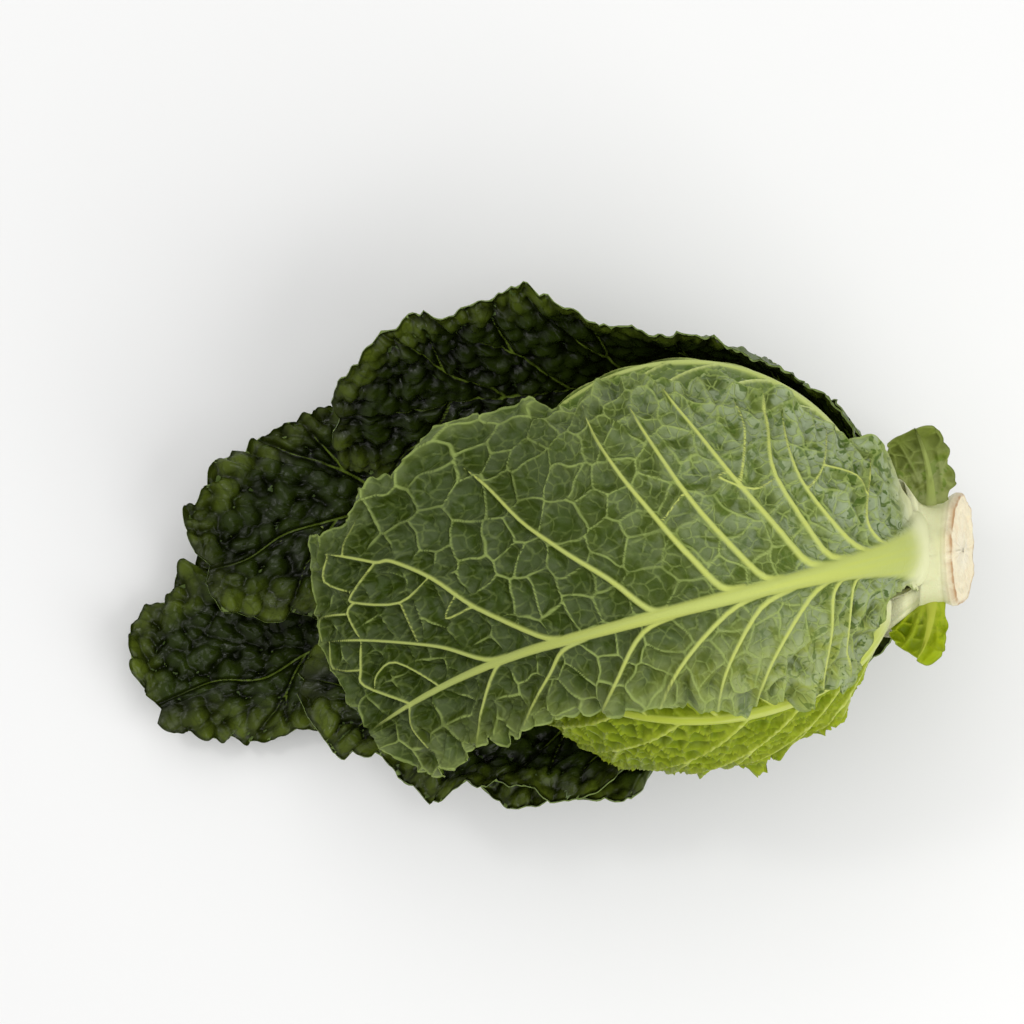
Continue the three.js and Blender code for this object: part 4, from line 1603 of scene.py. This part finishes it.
LEAVES = [
    Leaf(
        name="front_leaf", kind=Kind.FRONT, layer=4, azimuth=4.3, heading=-4.7, leave=124.2,
        opening=90, bend=0.001, drift=-0.00315, spread=0.005, wide=84, narrow=40, sector=(60, 62),
        fan=0.5, ends=(Outline.WAISTED, Outline.SQUARE), rows=24, rib=4.4, frill=3.4, phase=0.4,
        seed=3, veins=FRONT_VEINS,
    ),
    Leaf(
        name="upper_left_leaf", kind=Kind.DARK, layer=3, azimuth=122, leave=96, opening=108,
        bend=0.0003, drift=-0.0001, roll=20, spread=0.004, wide=36, narrow=46, sector=(56, 40),
        ends=(Outline.ROUND, Outline.BLUNT), rows=18, rib=2.2, frill=5, phase=1.1, seed=5,
    ),
    Leaf(
        name="lower_left_leaf", kind=Kind.DARK, layer=3, azimuth=-135, leave=96, opening=120,
        bend=0.0003, drift=0.0004, roll=-20, spread=0.004, wide=40, narrow=30, sector=(40, 25),
        fan=0.6, rows=18, rib=2.2, frill=5, phase=2.3, seed=7,
    ),
    Leaf(
        name="lower_side_leaf", kind=Kind.YELLOW, layer=3, azimuth=-47, leave=138, opening=22,
        spread=0.008, wide=62, narrow=62, sector=(57, 35), rows=18, rib=2.4, frill=2.4, phase=3.0,
        seed=11,
    ),
    Leaf(
        name="upper_side_leaf", kind=Kind.GREEN, layer=2, azimuth=78, leave=138, opening=22,
        spread=0.008, wide=62, narrow=62, sector=(60, 70), rows=18, rib=2.4, frill=2.4, phase=4.4,
        seed=13,
    ),
    Leaf(
        name="back_upper_leaf", kind=Kind.DARK, layer=4, azimuth=146, leave=92, opening=164,
        bend=-0.0016, drift=0.0014, roll=34, spread=0.005, wide=32, narrow=40, sector=(56, 33),
        ends=(Outline.BLUNT, Outline.BLUNT), rows=20, rib=2.2, frill=5, phase=5.2, seed=17,
    ),
    Leaf(
        name="back_lower_leaf", kind=Kind.DARK, layer=4, azimuth=-146, leave=92, opening=86,
        bend=0.0018, drift=0.0005, spread=0.003, wide=51, narrow=26, sector=(15, 18), fan=0.85,
        rows=18, rib=2.2, frill=5, phase=0.9, seed=19,
    ),
    Leaf(
        name="under_leaf", kind=Kind.DARK, layer=5, azimuth=180, leave=90, opening=184,
        bend=-0.0003, drift=0.0015, spread=0.0012, wide=29, narrow=52, sector=(60, 60),
        ends=(Outline.BLUNT, Outline.ROUND), rows=20, rib=2.4, frill=3.6, phase=1.7, rests=True,
        seed=23,
    ),
    INNER_LEAF,
    replace(INNER_LEAF, name="inner_upper_leaf", azimuth=60, phase=3.7, seed=31),
    replace(INNER_LEAF, name="inner_under_leaf", azimuth=180, phase=4.9, seed=37),
    HEART_LEAF,
    replace(HEART_LEAF, name="heart_leaf_back", azimuth=130, leave=154, phase=1.9, seed=43),
    replace(HEART_LEAF, name="heart_leaf_front", azimuth=-110, leave=154, phase=3.3, seed=47),
    Leaf(
        name="upper_collar_leaf", kind=Kind.UPPER_COLLAR, layer=5, azimuth=70, heading=12.2,
        leave=12.3, opening=28, bend=0.002, drift=-0.016, roll=-90, edgewise=True, spread=0.012,
        wide=7, narrow=12, sector=(80, 80), ends=(Outline.STRAP, Outline.STRAP), rows=10, rib=1,
        frill=2, phase=0.7, seed=53, coarser=0.5, veins=UPPER_COLLAR_VEINS,
    ),
    Leaf(
        name="lower_collar_leaf", kind=Kind.LOWER_COLLAR, layer=5, azimuth=-68, heading=-12.2,
        leave=12.3, opening=20, bend=0.002, drift=0.026, roll=85, edgewise=True, spread=0.012,
        wide=12, narrow=6, sector=(80, 80), ends=(Outline.STRAP, Outline.STRAP), rows=8, rib=1,
        frill=1.6, phase=2.1, seed=59, coarser=0.5, veins=LOWER_COLLAR_VEINS,
    ),
]


@dataclass
class Heart:
    """The dense heart: a ball whose skin steps up where its tight leaves overlap."""

    name: str = "heart"
    radius: float = 47.0
    leaves: int = 6
    crown_leaves: int = 3
    lean: float = 0.37
    crown_lean: float = 1.5
    turn: float = 2.4
    step: float = 0.88
    rise: float = 3.2
    cover: tuple[float, float] = (0.97, 1.06)
    rib_width: float = 1.6
    waves: int = 7
    wave: float = 0.07
    cell: float = 9.0
    cell_reach: float = 4.2
    roundness: float = 2.4
    blister: float = 0.9
    stem_pole: float = 0.02
    crown_pole: float = 0.004
    rings: int = 72
    sides: int = 150
    seed: int = 61

    def build(self) -> bpy.types.Object:
        """Builds the ball, poles on the stem axis.

        Returns:
            The heart's object.
        """
        polar, around = np.meshgrid(
            np.linspace(self.stem_pole, math.pi - self.crown_pole, self.rings + 1),
            np.linspace(0, 2 * math.pi, self.sides, endpoint=False),
            indexing="ij",
        )
        x = np.cos(polar)
        y = np.sin(polar) * np.sin(around)
        z = np.sin(polar) * np.cos(around)
        raised = np.zeros_like(x)
        ribs = np.full_like(x, FAR_SHARE)
        for n in range(self.leaves):
            lean = self.lean if n < self.leaves - self.crown_leaves else self.crown_lean
            middle = np.array([-lean, math.sin(n * self.turn), math.cos(n * self.turn)])
            middle /= np.linalg.norm(middle)
            away = np.arccos(np.clip(x * middle[0] + y * middle[1] + z * middle[2], -1, 1))
            away += self.wave * np.sin(self.waves * around + n) * np.sin(polar)
            raised += self.step * (1 - smooth(away, *self.cover))
            off_rib = np.abs(y * middle[2] - z * middle[1]) / math.hypot(middle[1], middle[2])
            off_rib = off_rib * self.radius / self.rib_width
            ribs = np.where(away < self.cover[1], off_rib + (1 - smooth(away, 0.0, 0.6)), ribs)
        chance = Chance(self.seed)
        s = np.arccos(z) * self.radius
        t = np.arctan2(y, -x) * self.radius * 0.9
        edge, tone = chance.cells(s + 2 * chance.waves(s, t, 12.0), t, self.cell)
        dome = 1 - (1 - held(edge / self.cell_reach)) ** self.roundness
        skin = self.blister * (0.5 - dome) * np.sin(polar) ** 0.5
        radius = self.radius + np.minimum(raised, self.rise) + skin
        points = HEAD + side_by_side(x, y, z) * radius[..., None]
        values = {
            "ribs": side_by_side(ribs, FAR_SHARE, edge),
            "spot": side_by_side(polar / math.pi, 0.0, dome),
            "leafmap": side_by_side(s / MAP_UNIT, t / MAP_UNIT, tone),
        }
        piece = make_piece("heart_ball", points, ring_faces(*x.shape, True), values)
        settle(piece, self.name, "leaf_pale", PALE)
        return piece


@dataclass(frozen=True)
class StemFinish:
    """The moist cut face, its brown rim and the pale green neck."""

    name: str = "cut_stem"
    neck: Colour = rgb(216, 219, 172)
    skin: Colour = rgb(232, 228, 196)
    face: Colour = rgb(235, 226, 193)
    pith: Colour = rgb(238, 232, 205)
    stain: Colour = rgb(216, 184, 142)
    rim: Colour = rgb(170, 130, 84)

    def material(self) -> bpy.types.Material:
        """The stem's material, coloured by how far from the axis and from the cut.

        Returns:
            The material.
        """
        recipe = Recipe(self.name)
        eased, blend, noise = recipe.eased, recipe.blend, recipe.noise
        radial, cut, around = recipe.attribute("spot")
        face, dry, _ = recipe.attribute("ribs")
        clouds = noise(0.006, 4.0, distortion=0.8)
        fibres = noise(0.02, 4.0, recipe.vector(radial, recipe.scaled(around, 5.0), cut))
        lines = noise(0.03, 4.0, recipe.vector(cut, recipe.scaled(around, 9.0), 0.0))
        skin = blend(eased(cut, 0.35, 0.85), self.neck, self.skin)
        skin = blend(eased(lines, 0.45, 0.7, 0.0, 0.35), skin, self.stain)
        wood = blend(eased(radial, 0.25, 0.6), self.pith, self.face)
        wood = blend(eased(fibres, 0.42, 0.7, 0.0, 0.4), wood, self.stain)
        wood = blend(eased(clouds, 0.5, 0.75, 0.0, 0.35), wood, self.stain)
        colour = blend(face, skin, wood)
        brown = recipe.times(dry, eased(clouds, 0.3, 0.6, 0.35, 1.0))
        colour = blend(brown, colour, self.rim)
        rough = eased(clouds, 0.3, 0.7, 0.42, 0.62)
        recipe.surface({"Base Color": colour, "Roughness": rough})
        recipe.glow(0.1, (1.0, 0.8, 0.4), 0.003)
        recipe.bump(recipe.times(fibres, lines), 0.0012, 0.5)
        return recipe.material


@dataclass
class Stem:
    """The stem: a round stub inside the leaf bases that ends in a lobed, slanted cut."""

    name: str = "cut_stem"
    inner_x: float = 98.0
    neck_x: float = 122.0
    cut_x: float = 135.0
    cut_radius: float = 18.5
    bevel: float = 2.5
    cut_tilt: float = 17.0
    shift_y: float = 1.5
    lobes: tuple[tuple[int, float, float], ...] = ((5, 0.03, 1.0), (9, 0.015, 0.0))
    neck_radius: float = 17.2
    sleeve_x: float = 129.0
    sleeve_rings: int = 26
    bare_bed: float = 60.0
    bare_reach: float = 3.0
    rib_reach: float = 9.0
    rib_angle: float = 24.0
    root_angle: float = 60.0
    root_ease: float = 9.0
    tuck: float = 0.9
    groove: float = 0.35
    sides: int = 180
    seed: int = 67
    finish: StemFinish = field(default_factory=StemFinish)

    def sleeve(self, around: Array, share: Array) -> tuple[Array, Array]:
        """The flesh that flares from the neck over the roots of the leaves.

        Args:
            around: Angles round the stem axis.
            share: 1 at its outer edge, 0 at the neck.

        Returns:
            Radius and place along the axis.
        """
        bed = np.full(around.shape, self.bare_bed)
        reach = np.full(around.shape, self.bare_reach)
        for leaf in LEAVES:
            if leaf.edgewise:
                continue
            away = (np.degrees(around) - leaf.azimuth + 180) % 360 - 180
            width = np.where(away > 0, leaf.wide, leaf.narrow) * ROOT_WIDTH
            half = np.minimum(np.degrees(width / STEM_RADIUS), self.root_angle)
            on_leaf = 1 - smooth(np.abs(away), half - self.root_ease, half + self.root_ease)
            on_rib = np.exp(-((away / self.rib_angle) ** 2))
            surface = LAYER_RADIUS[leaf.layer] + BLADE_THICKNESS / 2 + leaf.rib * on_rib
            bed = np.maximum(bed, mix(self.bare_bed, surface, on_leaf))
            reach = np.maximum(reach, self.bare_reach + self.rib_reach * on_rib * on_leaf)
        outer = self.neck_radius + reach
        edge_x = HEAD[0] + np.sqrt(bed**2 - outer**2) - self.tuck
        corner_x = HEAD[0] + np.sqrt(bed**2 - self.neck_radius**2)
        radius = self.neck_radius + share**2 * reach
        x = (1 - share) ** 2 * self.sleeve_x + 2 * share * (1 - share) * corner_x
        x = x + share**2 * edge_x
        return radius, x

    def profile(self) -> Array:
        """The outline from the hidden end over the side and the cut to its middle.

        Returns:
            Radius, place along the axis, 1 on the cut face, and the share of the sleeve,
            for each ring.
        """
        bends = [
            (2.0, self.inner_x, 0.0),
            (STEM_RADIUS - 2, self.inner_x, 0.0),
            (STEM_RADIUS, self.inner_x + 4, 0.0),
            (STEM_RADIUS, self.neck_x, 0.0),
            (self.neck_radius, self.sleeve_x, 0.0),
            (self.cut_radius, self.cut_x - self.bevel, 0.0),
            (self.cut_radius - 0.2, self.cut_x - 0.9, 0.0),
            (self.cut_radius - 1.0, self.cut_x, 1.0),
            (self.cut_radius * 0.55, self.cut_x - 0.5, 1.0),
            (0.6, self.cut_x - 0.2, 1.0),
        ]
        counts = (6, 4, 2, self.sleeve_rings, 12, 6, 4, 20, 20)
        rings = [(*bends[0], 0.0)]
        for n, ((first, last), count) in enumerate(zip(zip(bends, bends[1:]), counts)):
            for k in range(1, count + 1):
                f = k / count
                ring = [mix(a, b, f) for a, b in zip(first[:2], last[:2])]
                on_sleeve = 1 - (k - 1) / (count - 1) if n == SLEEVE_PART else 0.0
                rings.append((*ring, first[2] if f < 1 else last[2], on_sleeve))
        return np.array(rings)

    def build(self) -> bpy.types.Object:
        """Builds the stem with its fibres, scars and torn rim.

        Returns:
            The stem's object.
        """
        rings = self.profile()
        around = np.linspace(0, 2 * math.pi, self.sides, endpoint=False)[None, :]
        radius, x, face, sleeved = (rings[:, n : n + 1] + 0 * around for n in range(4))
        near_cut = smooth(x, self.neck_x, self.cut_x) * (1 - sleeved)
        sleeve_radius, sleeve_x = self.sleeve(around, sleeved)
        radius = np.where(sleeved > 0, sleeve_radius, radius)
        x = np.where(sleeved > 0, sleeve_x, x)
        free = smooth(x, self.neck_x - 2, self.cut_x) * (1 - sleeved)
        share = radius / self.cut_radius

        # Lobes and grooves of the side
        chance = Chance(self.seed)
        lobed = 1 + sum(free * depth * np.sin(n * around + start) for n, depth, start in self.lobes)
        wrap = np.cos(around) * 12
        turn = np.sin(around) * 12
        grooves = chance.waves(wrap * 3, turn * 3, 5.0) * self.groove
        grooves = grooves + chance.waves(wrap, turn + x * 0.6, 4.0) * self.groove
        radius = radius * lobed + grooves * free * smooth(share, 0.8, 0.9)

        # Fibres, rays, rings and torn rim of the cut
        ring_place = around * STEM_RADIUS
        fibre = chance.waves(share * 40, ring_place * 0.7 + 50, 4.0)
        rays = chance.waves(share * 6, ring_place * 2 + 90, 3.0)
        torn = smooth(-np.cos(around), 0.2, 0.9) * chance.waves(ring_place, share * 3 + 7, 2.2)
        dips = face * (0.3 * fibre + 0.25 * rays + 0.5 * torn * smooth(share, 0.7, 0.95))
        ring_mark = face * 0.25 * np.sin(share * 26.0) * smooth(share, 0.3, 0.8)
        x = x + dips + ring_mark + free * (1 - face) * 0.5 * torn

        slant = math.tan(math.radians(self.cut_tilt))
        z = radius * np.cos(around)
        y = radius * np.sin(around)
        points = side_by_side(x - free * z * slant, y + self.shift_y * free, z + HEAD[2])
        dry = np.exp(-(((share - 0.965) / 0.035) ** 2)) * smooth(near_cut, 0.75, 1.0)
        values = {
            "spot": side_by_side(share, near_cut, around / 6.3),
            "ribs": side_by_side(face, dry, 0.0),
        }
        piece = make_piece("stem_stub", points, ring_faces(*radius.shape, False), values)
        settle(piece, self.name, "cut_stem", self.finish)
        return piece


@dataclass(frozen=True)
class Lamp:
    """A square soft light: where it hangs, the length of its side and its watts."""

    name: str
    place: Place
    size: float
    power: float

    def build(self, focus_height: float) -> None:
        """Hangs the light so that it faces the plant.

        Args:
            focus_height: Height of the point that it faces.
        """
        data = bpy.data.lights.new(self.name, "AREA")
        data.energy = self.power
        data.size = self.size
        lamp = shown(bpy.data.objects.new(self.name, data))
        lamp.location = self.place
        aim = -np.array(self.place) + np.array([0.0, 0.0, focus_height])
        tilt = math.atan2(math.hypot(aim[0], aim[1]), -aim[2])
        lamp.rotation_euler = (tilt, 0.0, math.atan2(aim[1], aim[0]) - math.pi / 2)


@dataclass
class Studio:
    """A pale floor, soft light from above and a camera that looks straight down."""

    camera_place: Place = (-0.01205, 0.01127, 1.56)
    focus_height: float = 0.06
    view_width: float = 1024 / 3 * METRE
    sensor: float = 36.0
    floor_size: float = 6.0
    floor_height: float = -0.0002
    floor_colour: Colour = (0.78, 0.78, 0.775, 1.0)
    floor_roughness: float = 0.7
    lamps: tuple[Lamp, ...] = (
        Lamp("key_light", (-0.22, 0.44, 1.4), 1.4, 8.8),
        Lamp("fill_light", (0.9, -0.6, 1.1), 1.2, 12.5),
        Lamp("glint_light", (-0.5, 0.35, 1.2), 0.16, 1.6),
    )
    sky: float = 0.58

    def build(self) -> None:
        """Makes the floor, the lights, the sky and the camera."""
        self.floor()
        for lamp in self.lamps:
            lamp.build(self.focus_height)
        self.surroundings()
        self.camera()
        log.info("studio: floor, %d lights and a camera", len(self.lamps))

    def floor(self) -> None:
        """A wide plain floor just under the plant."""
        half = self.floor_size / 2
        mesh = bpy.data.meshes.new("floor")
        flat = ((-half, -half), (half, -half), (half, half), (-half, half))
        mesh.from_pydata([(x, y, self.floor_height) for x, y in flat], [], [(0, 1, 2, 3)])
        floor = shown(bpy.data.objects.new("floor", mesh))
        recipe = Recipe("pale_floor")
        recipe.surface({"Base Color": self.floor_colour, "Roughness": self.floor_roughness})
        mesh.materials.append(recipe.material)

    def surroundings(self) -> None:
        """An even pale sky."""
        world = bpy.data.worlds.new("soft_sky")
        world.use_nodes = True
        background = world.node_tree.nodes["Background"]
        background.inputs["Color"].default_value = (1.0, 1.0, 1.0, 1.0)
        background.inputs["Strength"].default_value = self.sky
        bpy.context.scene.world = world

    def camera(self) -> None:
        """A long lens straight above, turned so that the stem is on the right."""
        data = bpy.data.cameras.new("camera")
        distance = self.camera_place[2] - self.focus_height
        data.sensor_width = self.sensor
        data.lens = self.sensor * distance / self.view_width
        camera = shown(bpy.data.objects.new("camera", data))
        camera.location = self.camera_place
        scene = bpy.context.scene
        scene.camera = camera
        scene.view_settings.view_transform = "Standard"


@dataclass
class Cabbage:
    """The whole plant: its stem, its heart and its leaves from the outside in."""

    stem: Stem = field(default_factory=Stem)
    heart: Heart = field(default_factory=Heart)
    leaves: tuple[Leaf, ...] = tuple(LEAVES)

    def build(self) -> None:
        """Builds and dresses each piece in turn."""
        for part in (self.stem, self.heart, *self.leaves):
            part.build()


def main() -> None:
    """Builds the studio and the plant."""
    logging.basicConfig(level=logging.INFO, format="%(message)s")
    Studio().build()
    Cabbage().build()
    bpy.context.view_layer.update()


if __name__ == "__main__":
    main()
